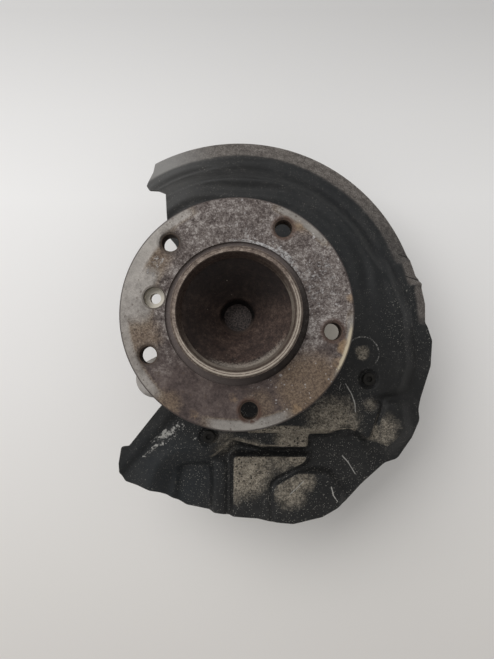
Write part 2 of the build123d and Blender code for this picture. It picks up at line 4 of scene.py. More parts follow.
import bmesh
import bpy
import numpy as np
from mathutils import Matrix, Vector

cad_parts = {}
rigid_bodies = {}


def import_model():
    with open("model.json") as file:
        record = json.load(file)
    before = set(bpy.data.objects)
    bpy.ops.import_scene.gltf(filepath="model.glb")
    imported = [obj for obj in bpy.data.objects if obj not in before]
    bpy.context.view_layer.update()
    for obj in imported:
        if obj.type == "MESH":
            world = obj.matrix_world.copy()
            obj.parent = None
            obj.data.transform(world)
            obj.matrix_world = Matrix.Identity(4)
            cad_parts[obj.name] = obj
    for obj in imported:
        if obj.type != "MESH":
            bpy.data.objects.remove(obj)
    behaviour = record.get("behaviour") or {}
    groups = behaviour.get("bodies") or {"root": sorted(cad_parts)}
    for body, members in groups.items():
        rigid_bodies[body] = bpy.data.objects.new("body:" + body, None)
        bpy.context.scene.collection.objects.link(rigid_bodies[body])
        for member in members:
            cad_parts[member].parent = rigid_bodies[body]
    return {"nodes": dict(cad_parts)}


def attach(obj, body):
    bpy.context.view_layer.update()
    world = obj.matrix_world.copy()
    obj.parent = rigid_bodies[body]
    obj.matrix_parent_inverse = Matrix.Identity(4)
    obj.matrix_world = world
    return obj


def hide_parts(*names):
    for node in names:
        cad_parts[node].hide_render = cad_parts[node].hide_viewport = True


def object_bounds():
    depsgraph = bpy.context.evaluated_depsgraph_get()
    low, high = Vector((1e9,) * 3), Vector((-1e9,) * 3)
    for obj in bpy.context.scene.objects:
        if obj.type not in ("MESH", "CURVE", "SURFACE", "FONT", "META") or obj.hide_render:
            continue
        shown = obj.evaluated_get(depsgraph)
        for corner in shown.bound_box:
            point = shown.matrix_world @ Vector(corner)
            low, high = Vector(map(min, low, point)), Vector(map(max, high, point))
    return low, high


bl_info = {
    "name": "Steering Knuckle",
    "version": (1, 0, 0),
    "blender": (4, 5, 0),
    "location": "3D View > Sidebar > Knuckle",
    "description": "Dresses a used steering knuckle with its wheel hub and dust shield",
    "category": "Object",
}

for leftover in list(bpy.data.objects):
    bpy.data.objects.remove(leftover)
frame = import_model()
cad_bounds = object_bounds()

MM = 0.001
LEVEL_REACH = 0.7


def tone(red, green, blue):
    """Scene-linear colour of a display colour given from 0 to 255."""

    def linear(value):
        share = value / 255
        return share / 12.92 if share <= 0.04045 else ((share + 0.055) / 1.055) ** 2.4

    return (linear(red), linear(green), linear(blue), 1.0)


def darker(color, share):
    """The same colour with less light."""
    return (color[0] * share, color[1] * share, color[2] * share, 1.0)


# ---------------------------------------------------------------- node materials
class Finish:
    """A node material under construction, read in the piece's own millimetres."""

    def __init__(self, name):
        self.material = bpy.data.materials.new(name)
        self.material.use_nodes = True
        self.nodes = self.material.node_tree.nodes
        self.links = self.material.node_tree.links
        self.shader = self.nodes["Principled BSDF"]
        self.color = None
        texture_place = self.nodes.new("ShaderNodeTexCoord")
        self.place = self.vector("SCALE", texture_place.outputs["Object"], scale=1 / MM)
        split = self.nodes.new("ShaderNodeSeparateXYZ")
        self.links.new(self.place, split.inputs[0])
        self.x, self.y, self.z = split.outputs
        self.flat = self.vector("MULTIPLY", self.place, (1, 1, 0))
        self.radius = self.vector("LENGTH", self.flat)
        self.heading = self.vector("NORMALIZE", self.flat)

    def feed(self, socket, value):
        """Links a socket to the value, or sets it."""
        if isinstance(value, bpy.types.NodeSocket):
            self.links.new(value, socket)
        else:
            socket.default_value = value

    def math(self, operation, first, second=0.0):
        """One sum with numbers."""
        node = self.nodes.new("ShaderNodeMath")
        node.operation = operation
        self.feed(node.inputs[0], first)
        self.feed(node.inputs[1], second)
        return node.outputs[0]

    def vector(self, operation, first, second=(0, 0, 0), scale=None):
        """One sum with places or directions."""
        node = self.nodes.new("ShaderNodeVectorMath")
        node.operation = operation
        self.feed(node.inputs[0], first)
        self.feed(node.inputs[1], second)
        if scale is not None:
            self.feed(node.inputs["Scale"], scale)
        single = operation in {"LENGTH", "DOT_PRODUCT", "DISTANCE"}
        return node.outputs["Value"] if single else node.outputs["Vector"]

    def chain(self, operation, values):
        """The same sum over all the values in turn."""
        result = values[0]
        for value in values[1:]:
            result = self.math(operation, result, value)
        return result

    def times(self, *values):
        return self.chain("MULTIPLY", values)

    def plus(self, *values):
        return self.chain("ADD", values)

    def most(self, *values):
        return self.chain("MAXIMUM", values)

    def rest_of(self, value):
        return self.math("SUBTRACT", 1.0, value)

    def mix(self, *parts):
        """Sum of values, each one taken at its share."""
        return self.plus(*(self.times(value, share) for value, share in parts))

    def strongest(self, *parts):
        """The largest of some values, each one taken at its strength."""
        return self.most(*(self.times(value, strength) for value, strength in parts))

    def step(self, value, low, high):
        """0 below low and 1 above high, smooth between. low may be the higher one."""
        node = self.nodes.new("ShaderNodeMapRange")
        node.interpolation_type = "SMOOTHSTEP"
        node.clamp = True
        self.feed(node.inputs["Value"], value)
        node.inputs["From Min"].default_value = min(low, high)
        node.inputs["From Max"].default_value = max(low, high)
        if low > high:
            node.inputs["To Min"].default_value = 1.0
            node.inputs["To Max"].default_value = 0.0
        return node.outputs["Result"]

    def band(self, value, low, high, soft):
        """1 between low and high, fading over soft outside them."""
        return self.times(self.step(value, low - soft, low), self.step(value, high + soft, high))

    def noise(self, size, detail=3.0, roughness=0.55, place=None, shift=0.0, warp=0.0):
        """Cloudy noise whose features measure about size millimetres."""
        node = self.nodes.new("ShaderNodeTexNoise")
        source = self.place if place is None else place
        if shift:
            source = self.vector("ADD", source, (shift, 1.7 * shift, 0.6 * shift))
        self.feed(node.inputs["Vector"], source)
        node.inputs["Scale"].default_value = 1 / size
        node.inputs["Detail"].default_value = detail
        node.inputs["Roughness"].default_value = roughness
        node.inputs["Distortion"].default_value = warp
        return node.outputs["Fac"]

    def specks(self, spacing, share, size, shift=0.0):
        """Small dots, one in some cells of a random lattice, share of the cells holding one."""
        node = self.nodes.new("ShaderNodeTexVoronoi")
        source = self.vector("ADD", self.place, (shift, shift, 0.5 * shift))
        self.feed(node.inputs["Vector"], source)
        node.inputs["Scale"].default_value = 1 / spacing
        split = self.nodes.new("ShaderNodeSeparateColor")
        self.links.new(node.outputs["Color"], split.inputs[0])
        chosen = self.math("LESS_THAN", split.outputs[0], share)
        reach = self.times(split.outputs[1], size / spacing)
        return self.times(chosen, self.math("LESS_THAN", node.outputs["Distance"], reach))

    def spot(self, place, reach, soft):
        """1 within reach of a point seen along the hub axis, fading over soft."""
        return self.step(self.vector("DISTANCE", self.flat, (*place, 0)), reach + soft, reach)

    def spots(self, rows):
        """The strongest of soft spots, given as x, y, reach, softness and strength."""
        return self.strongest(
            *((self.spot((x, y), reach, soft), strength) for x, y, reach, soft, strength in rows)
        )

    def ring(self, place, inner, outer, soft):
        """1 between two circles round a point seen along the hub axis."""
        return self.band(self.vector("DISTANCE", self.flat, (*place, 0)), inner, outer, soft)

    def box(self, across, up, soft):
        """1 inside a rectangle seen along the hub axis, fading over soft."""
        return self.times(self.band(self.x, *across, soft), self.band(self.y, *up, soft))

    def level(self, height):
        """1 where a sheet lies at a height along the hub axis, fading over LEVEL_REACH."""
        return self.band(self.z, height - LEVEL_REACH, height + LEVEL_REACH, LEVEL_REACH)

    def sector(self, angle, spread):
        """1 along a direction round the hub axis, falling to 0 at spread degrees from it."""
        direction = (cos(radians(angle)), sin(radians(angle)), 0)
        facing = self.vector("DOT_PRODUCT", self.heading, direction)
        return self.step(facing, cos(radians(spread)), 1.0)

    def stroke(self, start, end, width):
        """1 on a straight line between two points seen along the hub axis, with ragged edges."""
        run = Vector((end[0] - start[0], end[1] - start[1], 0))
        from_start = self.vector("SUBTRACT", self.flat, (*start, 0))
        along = self.vector("DOT_PRODUCT", from_start, tuple(run))
        along = self.times(along, 1 / run.length_squared)
        along = self.math("MINIMUM", self.math("MAXIMUM", along, 0.0), 1.0)
        foot = self.vector("SCALE", tuple(run), scale=along)
        distance = self.vector("DISTANCE", from_start, foot)
        ragged = self.times(self.noise(1.4, 2, shift=start[0]), width * 1.6)
        return self.step(self.math("SUBTRACT", distance, ragged), 0.15, -0.15)

    def turned(self, width):
        """Coordinates that repeat round the hub axis, for turning marks of about that width."""
        node = self.nodes.new("ShaderNodeCombineXYZ")
        self.links.new(self.times(self.radius, 1 / width), node.inputs[0])
        self.links.new(self.times(self.z, 1 / width), node.inputs[1])
        return node.outputs[0]

    def blend(self, factor, under, over):
        """The colour under, covered by the colour over as far as the factor says."""
        node = self.nodes.new("ShaderNodeMix")
        node.data_type = "RGBA"
        self.feed(node.inputs["Factor"], factor)
        color_sockets = [socket for socket in node.inputs if socket.type == "RGBA"]
        self.feed(color_sockets[0], under)
        self.feed(color_sockets[1], over)
        return [socket for socket in node.outputs if socket.type == "RGBA"][0]

    def paint(self, cover, color, strength=1.0):
        """Lays a colour over the finish so far, as far as the cover says."""
        self.color = self.blend(self.times(cover, strength), self.color, color)

    def tones(self, factor, *stops):
        """Colour ramp through (share, colour) stops."""
        node = self.nodes.new("ShaderNodeValToRGB")
        self.feed(node.inputs[0], factor)
        elements = node.color_ramp.elements
        while len(elements) < len(stops):
            elements.new(0.5)
        for element, (share, color) in zip(elements, stops):
            element.position = share
            element.color = color
        return node.outputs["Color"]

    def worn_edge(self, reach, low, high):
        """1 on convex and concave edges, from a rounded normal against the true one."""
        rounded_normal = self.nodes.new("ShaderNodeBevel")
        rounded_normal.samples = 6
        rounded_normal.inputs["Radius"].default_value = reach * MM
        true = self.nodes.new("ShaderNodeNewGeometry")
        likeness = self.vector(
            "DOT_PRODUCT", rounded_normal.outputs["Normal"], true.outputs["Normal"]
        )
        return self.step(likeness, 1 - low, 1 - high)

    def hollow(self, reach):
        """1 in creases and corners, from how much of the surroundings is covered."""
        cover = self.nodes.new("ShaderNodeAmbientOcclusion")
        cover.samples = 6
        cover.only_local = True
        cover.inputs["Distance"].default_value = reach * MM
        return self.step(cover.outputs["AO"], 0.92, 0.55)

    def relief(self, height, depth, strength=1.0):
        """Bumps of a depth in millimetres, passed to the shader's normal."""
        node = self.nodes.new("ShaderNodeBump")
        node.inputs["Strength"].default_value = strength
        node.inputs["Distance"].default_value = depth * MM
        self.feed(node.inputs["Height"], height)
        self.links.new(node.outputs["Normal"], self.shader.inputs["Normal"])

    def finish(self, roughness, metallic=0.0):
        """Joins the colour and the gloss to the shader and gives the material."""
        self.feed(self.shader.inputs["Base Color"], self.color)
        self.feed(self.shader.inputs["Roughness"], roughness)
        self.feed(self.shader.inputs["Metallic"], metallic)
        return self.material


def coat(piece, material):
    """Gives a piece one material all over."""
    piece.data.materials.clear()
    piece.data.materials.append(material)


# ---------------------------------------------------------------- wheel hub
BOLT_RADIUS = 60
DISC_SCREW = (169.3, 51.8)
SCREW_SEAT = 6.6
GROOVE_INNER, GROOVE_OUTER = 39.6, 44.2
PILOT_INNER = 33.6

# rust round each bolt hole: angle, strength and colour
HOLE_RUST = (
    (61.3, 0.85, tone(84, 64, 54)),
    (133.3, 0.7, tone(58, 51, 46)),
    (205.3, 0.5, tone(68, 61, 56)),
    (277.3, 0.95, tone(74, 54, 45)),
    (349.3, 0.8, tone(76, 56, 47)),
)
# stains on the flange: x, y, reach, softness and strength
BROWN_SPOTS = (
    (44, -44, 8, 26, 1.0),
    (-58, -14, 4, 18, 0.9),
    (-50, 34, 3, 17, 0.9),
    (40, 58, 2, 16, 0.8),
    (-42, -55, 2, 14, 0.9),
    (14, -56, 4, 14, 0.7),
)
ORANGE_SPOTS = (
    (70, 9, 1, 6, 0.9),
    (66.5, -21, 3, 7, 1.0),
    (62, -30, 2, 7, 0.8),
    (36, -58, 1, 8, 0.8),
    (38, 54, 1, 9, 0.8),
    (-2, -52, 1, 8, 0.7),
    (-26, -62, 1, 8, 0.7),
    (-46, 50, 1, 8, 0.5),
    (20, 48, 0, 6, 0.5),
)
# where the disc has rubbed the flange, painted pale partly as a reflection of the light on the
# steel: angle, spread, radii of no wear and full wear, strength
BARE_ARCS = (
    (169, 30, 45, 56, 1.0),
    (152, 38, 58, 66, 1.12),
    (190, 30, 62, 68, 0.98),
    (212, 26, 62, 68, 0.94),
    (126, 20, 62, 68, 1.0),
    (276, 34, 62, 67, 1.12),
    (54, 24, 64, 69, 1.12),
    (58, 9, 60, 68, 0.9),
    (350, 17, 65, 69, 0.92),
    (332, 12, 67, 71, 0.8),
)
# white salts: angle, spread, inner and outer radius, softness, strength
SALT_ARCS = (
    (50, 20, 44.8, 48, 3, 0.9),
    (62, 75, 44.3, 45.8, 1.2, 0.92),
    (88, 30, 46, 56, 4, 0.78),
    (22, 44, 46, 64, 4, 0.80),
    (150, 16, 56, 61, 3, 0.84),
    (312, 34, 45, 62, 4, 0.72),
    (232, 30, 46, 52, 3, 0.62),
)


def hole_place(angle, radius=BOLT_RADIUS):
    """Centre of a hole in the flange."""
    return (radius * cos(radians(angle)), radius * sin(radians(angle)))


def flange_rust(steel, clouds):
    """Grey-brown rust of the flange face, purple below and grey and speckled above."""
    broad, middle, grain, fine = clouds
    upper = steel.tones(
        steel.mix((broad, 0.2), (middle, 0.3), (grain, 0.4), (fine, 0.15)),
        (0.43, tone(46, 38, 35)),
        (0.49, tone(84, 75, 72)),
        (0.545, tone(112, 104, 100)),
        (0.605, tone(162, 156, 152)),
    )
    lower = steel.tones(
        steel.mix((broad, 0.35), (middle, 0.3), (grain, 0.35)),
        (0.42, tone(54, 45, 43)),
        (0.51, tone(78, 67, 64)),
        (0.62, tone(102, 91, 86)),
    )
    low = steel.step(steel.plus(steel.y, steel.times(broad, 44)), 14, -16)
    steel.color = steel.blend(low, upper, lower)
    brown = steel.plus(steel.spots(BROWN_SPOTS), steel.mix((middle, 0.7), (grain, 0.35)))
    brown = steel.step(brown, 0.75, 1.5)
    brown_color = steel.tones(grain, (0.40, tone(84, 68, 54)), (0.62, tone(132, 114, 94)))
    steel.paint(brown, brown_color, 0.7)
    soot = steel.step(steel.mix((middle, 0.6), (grain, 0.4)), 0.43, 0.36)
    steel.paint(soot, tone(46, 38, 36), 0.7)


def rubbed_bare(steel, clouds, bare_steel_color):
    """Crescents that the disc rubbed bare, their pale colour partly a painted reflection of the
    light on the steel, stained round them and pitted. Gives their cover.
    """
    broad, middle, grain, fine = clouds
    rubbed_and_highlight = steel.most(
        *(
            steel.times(steel.sector(angle, spread), steel.step(steel.radius, *reach), strength)
            for angle, spread, *reach, strength in BARE_ARCS
        )
    )
    ragged = steel.mix((broad, 0.35), (middle, 0.4), (grain, 0.3))
    wear_and_highlight = steel.plus(rubbed_and_highlight, steel.times(ragged, 0.85))
    bare = steel.step(wear_and_highlight, 1.02, 1.56)
    stained = steel.times(steel.step(wear_and_highlight, 0.76, 1.2), steel.rest_of(bare))
    # painted reflection: the pale bare colour also stands in for the light that the bare steel
    # reflects
    bare_and_sheen_color = steel.tones(
        steel.mix((broad, 0.5), (grain, 0.25), (fine, 0.25)),
        (0.40, darker(bare_steel_color, 0.62)),
        (0.62, tuple(bare_steel_color)),
    )
    stain_color = steel.tones(grain, (0.42, tone(92, 80, 68)), (0.60, tone(146, 133, 116)))
    steel.paint(stained, stain_color, 0.55)
    steel.paint(bare, bare_and_sheen_color, 0.95)
    pits = steel.times(steel.specks(1.9, 0.35, 1.0, shift=61), steel.step(middle, 0.42, 0.56))
    steel.paint(pits, tone(74, 62, 54), 0.6)
    return bare


def orange_rust(steel, clouds):
    """Fresh rust in spots, and a chipped pale edge at the lower right."""
    _, middle, grain, _ = clouds
    orange = steel.plus(steel.spots(ORANGE_SPOTS), steel.mix((middle, 0.8), (grain, 0.6)))
    orange = steel.step(orange, 1.2, 1.9)
    steel.paint(orange, tone(150, 124, 92), 0.7)
    bright_edge = steel.times(steel.sector(342, 20), steel.step(steel.radius, 67, 70.5))
    bright_edge = steel.plus(bright_edge, steel.mix((middle, 0.6), (grain, 0.5)))
    bright_edge = steel.step(bright_edge, 1.1, 1.5)
    steel.paint(bright_edge, tone(196, 184, 160), 0.8)


def white_salts(steel, clouds):
    """White salts round the relief groove and down the right side. Gives their cover."""
    _, middle, grain, _ = clouds
    salts = steel.most(
        *(
            steel.times(steel.sector(angle, spread), steel.band(steel.radius, *reach), strength)
            for angle, spread, *reach, strength in SALT_ARCS
        )
    )
    salt_cloud = steel.mix((steel.noise(2.2, 5, 0.85, shift=53), 0.7), (grain, 0.55))
    salts = steel.step(steel.plus(salts, salt_cloud), 1.44, 1.60)
    steel.paint(salts, tone(192, 191, 191), 0.8)
    crumbs = steel.times(
        steel.most(steel.specks(1.6, 0.25, 0.6, shift=5), steel.specks(3.4, 0.2, 1.0, shift=55)),
        steel.strongest((steel.sector(45, 70), 1.0), (steel.sector(312, 40), 0.6)),
        steel.step(middle, 0.4, 0.52),
    )
    steel.paint(crumbs, tone(178, 175, 174), 0.8)
    return salts


def holes_and_edges(steel, middle):
    """Rust rings and dark walls of the holes, and the flange's edge. Gives the screw's seat."""
    for angle, strength, ring_tone in HOLE_RUST:
        ring = steel.ring(hole_place(angle), 5, 6.6, 2.4)
        ring = steel.times(ring, steel.step(middle, 0.3, 0.56), strength)
        steel.paint(ring, ring_tone)
    walls = steel.times(
        steel.step(steel.z, -0.3, -1.6),
        steel.step(steel.radius, 44.8, 45.4),
        steel.step(steel.radius, 71.4, 70.8),
    )
    thread = steel.math("SINE", steel.times(steel.z, 4.2))
    wall_color = steel.blend(steel.step(thread, 0.1, 0.9), tone(26, 19, 16), tone(88, 72, 60))
    steel.paint(walls, wall_color, 0.95)

    screw_seat = steel.spot(hole_place(*DISC_SCREW), SCREW_SEAT, 0.3)
    seat_edge = steel.ring(hole_place(*DISC_SCREW), SCREW_SEAT + 0.1, SCREW_SEAT + 0.7, 0.5)
    steel.paint(seat_edge, tone(78, 71, 63), 0.7)
    seat_color = steel.blend(
        steel.step(steel.mix((steel.z, -0.16), (middle, 0.6)), 0.5, 1.2),
        tone(70, 64, 56),
        tone(196, 190, 178),
    )
    below_face = steel.step(steel.z, 0.0, -0.4)
    steel.paint(screw_seat, seat_color, below_face)
    rim_wall = steel.step(steel.radius, 71.1, 71.9)
    steel.paint(rim_wall, tone(58, 49, 46), 0.85)
    return screw_seat


def pilot_color(steel, clouds):
    """Rusty pilot ring with lips that are worn and carry painted highlights, brightest on the lower
    right, painted shade on the upper inner slope and darker brown on the lower inner slope.
    """
    _, middle, grain, _ = clouds
    around = steel.noise(2.2, 4, 0.7, place=steel.turned(1.0), shift=4)
    color = steel.tones(
        steel.mix((grain, 0.4), (middle, 0.3), (around, 0.35)),
        (0.42, tone(60, 50, 44)),
        (0.50, tone(98, 86, 78)),
        (0.57, tone(126, 113, 103)),
        (0.66, tone(166, 155, 143)),
    )
    # the lips' bright lines are partly wear and partly painted highlight, strongest on the lower
    # right, where the lips face the light
    lit_lower_right = steel.strongest((steel.sector(275, 105), 1.0), (steel.sector(350, 60), 0.8))
    rubbed_and_highlight = steel.mix((lit_lower_right, 0.45), (middle, 0.5), (around, 0.4), (grain, 0.5))
    top_lip = steel.times(steel.band(steel.radius, 36.0, 36.5, 0.3), steel.step(steel.z, 9, 10.5))
    lips = steel.strongest(
        (steel.band(steel.radius, 37.5, 38.3, 0.3), 1.0),
        (top_lip, 1.0),
        (steel.band(steel.radius, 33.9, 34.6, 0.4), 0.8),
    )
    color = steel.blend(
        steel.times(lips, steel.step(rubbed_and_highlight, 0.72, 1.12), 0.8), color, tone(178, 168, 155)
    )
    # painted shade: the inner slope is darkened on its upper side, which faces away from the light
    upper_slope = steel.times(steel.step(steel.radius, 36.4, 35.6), steel.sector(130, 130), 0.85)
    slope_shade_color = steel.tones(grain, (0.42, tone(38, 28, 25)), (0.6, tone(74, 60, 53)))
    color = steel.blend(upper_slope, color, slope_shade_color)
    lower_slope = steel.times(steel.step(steel.radius, 35.8, 35.2), steel.sector(310, 70), 0.6)
    return steel.blend(lower_slope, color, tone(70, 57, 50))


def bowl_color(steel, clouds):
    """Dark rusty bowl, worn towards its lower rim, with painted shade on its upper and left sides,
    painted glints near the pocket's mouth, and its deep pocket painted near-black above and lighter
    below as painted shade and light.
    """
    broad, middle, grain, fine = clouds
    color = steel.tones(
        steel.mix((broad, 0.25), (middle, 0.35), (grain, 0.4), (fine, 0.05)),
        (0.42, tone(30, 22, 20)),
        (0.52, tone(56, 43, 38)),
        (0.62, tone(92, 76, 67)),
    )
    toward_rim = steel.times(steel.step(steel.radius, 24, 33.5), steel.sector(285, 95))
    worn_rim = steel.step(steel.plus(toward_rim, steel.times(grain, 0.9)), 1.15, 1.5)
    color = steel.blend(steel.times(worn_rim, 0.75), color, tone(146, 138, 128))
    # painted shade: the bowl's upper and left sides are darkened, as they face away from the light
    shaded = steel.strongest(
        (steel.step(steel.y, -8, 18), 0.75), (steel.step(steel.x, 4, -26), 0.5)
    )
    color = steel.blend(shaded, color, tone(22, 18, 17))
    glints = steel.times(steel.specks(2.6, 0.10, 0.5, shift=17), steel.step(steel.radius, 12, 16))
    color = steel.blend(steel.times(glints, 0.6), color, tone(150, 140, 128))
    # painted shade and light: the pocket's wall is near-black on its upper side and lighter on its
    # lower side
    pocket_color = steel.blend(steel.step(steel.y, 1, -7), tone(8, 7, 7), tone(96, 82, 75))
    color = steel.blend(steel.step(steel.z, -23, -30), color, pocket_color)
    floor_color = steel.tones(grain, (0.40, tone(30, 26, 26)), (0.62, tone(98, 87, 83)))
    return steel.blend(steel.step(steel.z, -38.5, -39.5), color, floor_color)


def rusty_hub_steel(settings):
    """Turned steel, part bare and worn, part under grey-brown rust, with white salts; the bare
    steel's pale colour is partly a painted reflection, and the groove, the pilot's inner slope and
    the bowl carry painted shade.
    """
    steel = Finish("rusty_hub_steel")
    clouds = (
        steel.noise(17, 5, 0.6, warp=0.4),
        steel.noise(3.6, 5, 0.7, shift=31),
        steel.noise(1.1, 4, 0.75, shift=12),
        steel.noise(0.5, 2, 0.7, shift=77),
    )
    _, middle, grain, fine = clouds
    flange_rust(steel, clouds)
    bare = rubbed_bare(steel, clouds, settings.bare_steel_color)
    orange_rust(steel, clouds)
    salts = white_salts(steel, clouds)
    screw_seat = holes_and_edges(steel, middle)

    groove = steel.band(steel.radius, GROOVE_INNER, GROOVE_OUTER, 0.4)
    groove = steel.times(groove, steel.step(steel.z, 0.1, -0.4))
    # painted shadow: the groove is darkened on its right side, where the pilot ring shades it from
    # the light at the upper left
    groove_color_and_shadow = steel.blend(steel.sector(340, 80), tone(96, 87, 84), tone(46, 40, 37))
    steel.paint(groove, groove_color_and_shadow, 0.85)
    ring = steel.band(steel.radius, PILOT_INNER, GROOVE_INNER, 0.25)
    ring = steel.times(ring, steel.step(steel.z, -1.7, -0.8))
    steel.paint(ring, pilot_color(steel, clouds))
    bowl = steel.times(steel.step(steel.radius, 34.4, 33.4), steel.step(steel.z, 4.0, 1.5))
    steel.paint(bowl, bowl_color(steel, clouds))

    shine = steel.times(bare, steel.rest_of(salts), steel.rest_of(bowl))
    shine = steel.strongest((shine, 1.0), (screw_seat, 0.9))
    metallic = steel.mix((shine, 0.4), (ring, 0.35))
    gloss = steel.mix((shine, 0.38), (ring, 0.34), (bowl, 0.2), (grain, -0.3))
    roughness = steel.math("SUBTRACT", 0.65, gloss)
    marks = steel.noise(1.0, 2, place=steel.turned(0.35))
    height = steel.mix((middle, 0.6), (grain, 0.5), (fine, 0.25), (marks, 0.15), (salts, 0.3))
    steel.relief(steel.times(height, steel.rest_of(steel.times(shine, 0.6))), 0.6)
    steel.shader.inputs["Specular IOR Level"].default_value = 0.35
    return steel.finish(roughness, metallic)


# ---------------------------------------------------------------- pressed sheet
SHEET = 1.2
GRID_STEP = 1.1
GRID_SIDES = (252, 312)
GRID_CENTRE = (27, -3)
DIE_STEP = 0.5
DIE_REACH = ((-130, 160), (-165, 150))
CREASE = 1.1
STRIP_LEVEL, PLATE_LEVEL, CORNER_LEVEL, STEP_LEVEL, PANEL_LEVEL = -55, -58, -61, -63, -64
BEAD_LEVEL, OUTER_LEVEL = -67.5, -70
PLATE_RADIUS = 106
SCREW_PLACES = ((94.4, -43.2), (-21.3, -84.4), (18, 66))
SEAT_RADIUS, SEAT_SLOPE, SEAT_DEPTH, SCREW_HOLE_RADIUS = 6.3, 1.5, 1.5, 3.3
HOLE_RADIUS, EAR_RADIUS, EAR_CIRCLE = 55.5, 12, 52
POCKET = ((-54, -170), (-45, -104), (-18, -104), (-18, -170))
POCKET_CORNER, POCKET_DEPTH, POCKET_DRAFT = 9, 4.5, 40
WAVE_HEIGHT, WAVE_PITCH = 0.55, 13
WAVE_INNER, WAVE_OUTER, WAVE_FOOT = 80, 127, -4
# how far the waves swing in and out, how often round the hub axis, and their phase
WAVE_SWINGS = ((2.4, 5, 0.6), (1.3, 9, 0))
EDGE_PROBE, EDGE_MOVE = 0.05, 1.2

# outline corners, corner radius, foot, top and wall draft in degrees of each raised form
PRESSED_FORMS = (
    (
        (
            (-120, 100), (-130, -150), (-60, -150), (-46, -106), (-16, -106), (2, -88), (86, -88),
            (100, -66), (126, -58), (134, -34), (131, 8), (118, 40), (70, 95), (0, 100),
        ),
        16, OUTER_LEVEL, PLATE_LEVEL, 45,
    ),
    (
        ((-20, -84.5), (68, -84), (79, -80), (96, -92), (108, -58), (84, -54), (-20, -54)),
        6, OUTER_LEVEL, PLATE_LEVEL, 15,
    ),
    (
        ((-16, -87), (16, -95.5), (53.5, -95.5), (53.5, -74), (-16, -74)),
        4.5, OUTER_LEVEL, STEP_LEVEL, 24,
    ),
    (
        ((-8, -178), (34, -178), (26, -136), (26, -119), (50, -108), (58, -96.5), (-7, -96.5)),
        6.2, OUTER_LEVEL, PANEL_LEVEL, 33,
    ),
    (
        ((23, -172), (70, -172), (80, -126), (68, -108), (42, -108), (21, -120)),
        11, OUTER_LEVEL, PANEL_LEVEL, 40,
    ),
    (
        ((87, -95), (112, -104), (132, -84), (128, -54), (101, -50)),
        13.2, OUTER_LEVEL, CORNER_LEVEL, 50,
    ),
    (((-20, -170), (-8, -170), (-8, -103), (-20, -103)), 4, OUTER_LEVEL, BEAD_LEVEL, 33),
    (((-90, -30), (-124, -95), (-86, -114), (-36, -58)), 6, PLATE_LEVEL, STRIP_LEVEL, 33),
)
PLATE_CUT = (
    (-60, -150), (-60, -93), (-27, -93), (-10, -75), (78, -75), (84, -66), (110, -66), (110, -150),
)
# folded-down rim: first angle, sweep and inner radius of each length of it
RIM_SECTORS = ((20, 130, 126), (12, 20, 130), (-1, 12, 134))
RIM_SLOPE = 0.5
RIM_RADIUS = 139
RIM_ANGLES = range(22, 120, 2)
UPPER_END = ((-66, 115), (-70.5, 103), (-68, 99.5), (-61, 99.5), (-54, 94), (-53, 80), (-52, 62))
LEFT_EDGE = (
    (-57, -64), (-78, -90.5), (-83.5, -91), (-85.3, -103), (-84.8, -110), (-81, -116),
    (-72.5, -119), (-58, -125.8), (-39, -137.5), (-20, -141.3), (-7, -143), (14, -144.5),
    (26, -147.3),
)
LOWER_EDGE = (
    (40, -148.5), (61, -143.5), (79, -133.5), (91, -121), (108.5, -105.5), (118, -102.5),
    (129, -87), (135, -74), (134.3, -66), (136, -58), (144, -34),
)
RIGHT_EDGE = ((145.5, -15), (141.7, -3), (142.2, 13), (138, 32), (135.5, 34.5), (131, 48))
# dents from handling: place, reach and depth
DENTS = (
    ((100, 40), 16, 0.8), ((60, 88), 20, 0.5), ((-20, 104), 18, 0.7), ((112, -30), 14, 0.6),
    ((66, -98), 12, 0.5), ((-60, -96), 10, 0.6), ((88, -108), 12, 0.7), ((8, -108), 9, 0.3),
    ((50, -128), 10, 0.4), ((30, -68), 14, 0.3),
)


def rounded(corners, radii):
    """Closed outline through the corners, each one rounded by its radius, as an array of points."""
    points = []
    count = len(corners)
    for index, corner in enumerate(corners):
        here = Vector(corner)
        back = Vector(corners[index - 1]) - here
        ahead = Vector(corners[(index + 1) % count]) - here
        half_angle = back.angle(ahead) / 2
        reach = min(radii[index] / tan(half_angle), 0.48 * back.length, 0.48 * ahead.length)
        start = here + reach * back.normalized()
        end = here + reach * ahead.normalized()
        for step in range(7):
            share = step / 6
            rest = 1 - share
            points.append(rest ** 2 * start + 2 * share * rest * here + share ** 2 * end)
    return np.array(points)


def inside_depth(outline, x, y):
    """Distance from each place to the outline, positive inside it."""
    nearest = np.full(x.shape, 1e9)
    crossings = np.zeros(x.shape, dtype=int)
    for (ax, ay), (bx, by) in zip(outline, np.roll(outline, -1, axis=0)):
        run_x, run_y = bx - ax, by - ay
        length_squared = run_x ** 2 + run_y ** 2
        if length_squared < 1e-9:
            continue
        along = np.clip(((x - ax) * run_x + (y - ay) * run_y) / length_squared, 0, 1)
        nearest = np.minimum(nearest, np.hypot(x - ax - along * run_x, y - ay - along * run_y))
        if ay != by:
            crossings += ((ay > y) != (by > y)) & (x < ax + (y - ay) * run_x / run_y)
    return np.where(crossings % 2 == 1, nearest, -nearest)


def shield_outline():
    """The sheet's edge: rim arc, upper end, cut towards the hub, and the lower and right edges."""
    rim = [
        (RIM_RADIUS * cos(radians(angle)), RIM_RADIUS * sin(radians(angle)))
        for angle in RIM_ANGLES
    ]
    hub_axis = [(0, 0)]
    corners, radii = [], []
    for points, radius in (
        (rim, 0.5), (UPPER_END, 2), (hub_axis, 2), (LEFT_EDGE, 2), (LOWER_EDGE, 8), (RIGHT_EDGE, 2),
    ):
        corners += points
        radii += [radius] * len(points)
    return rounded(corners, radii)


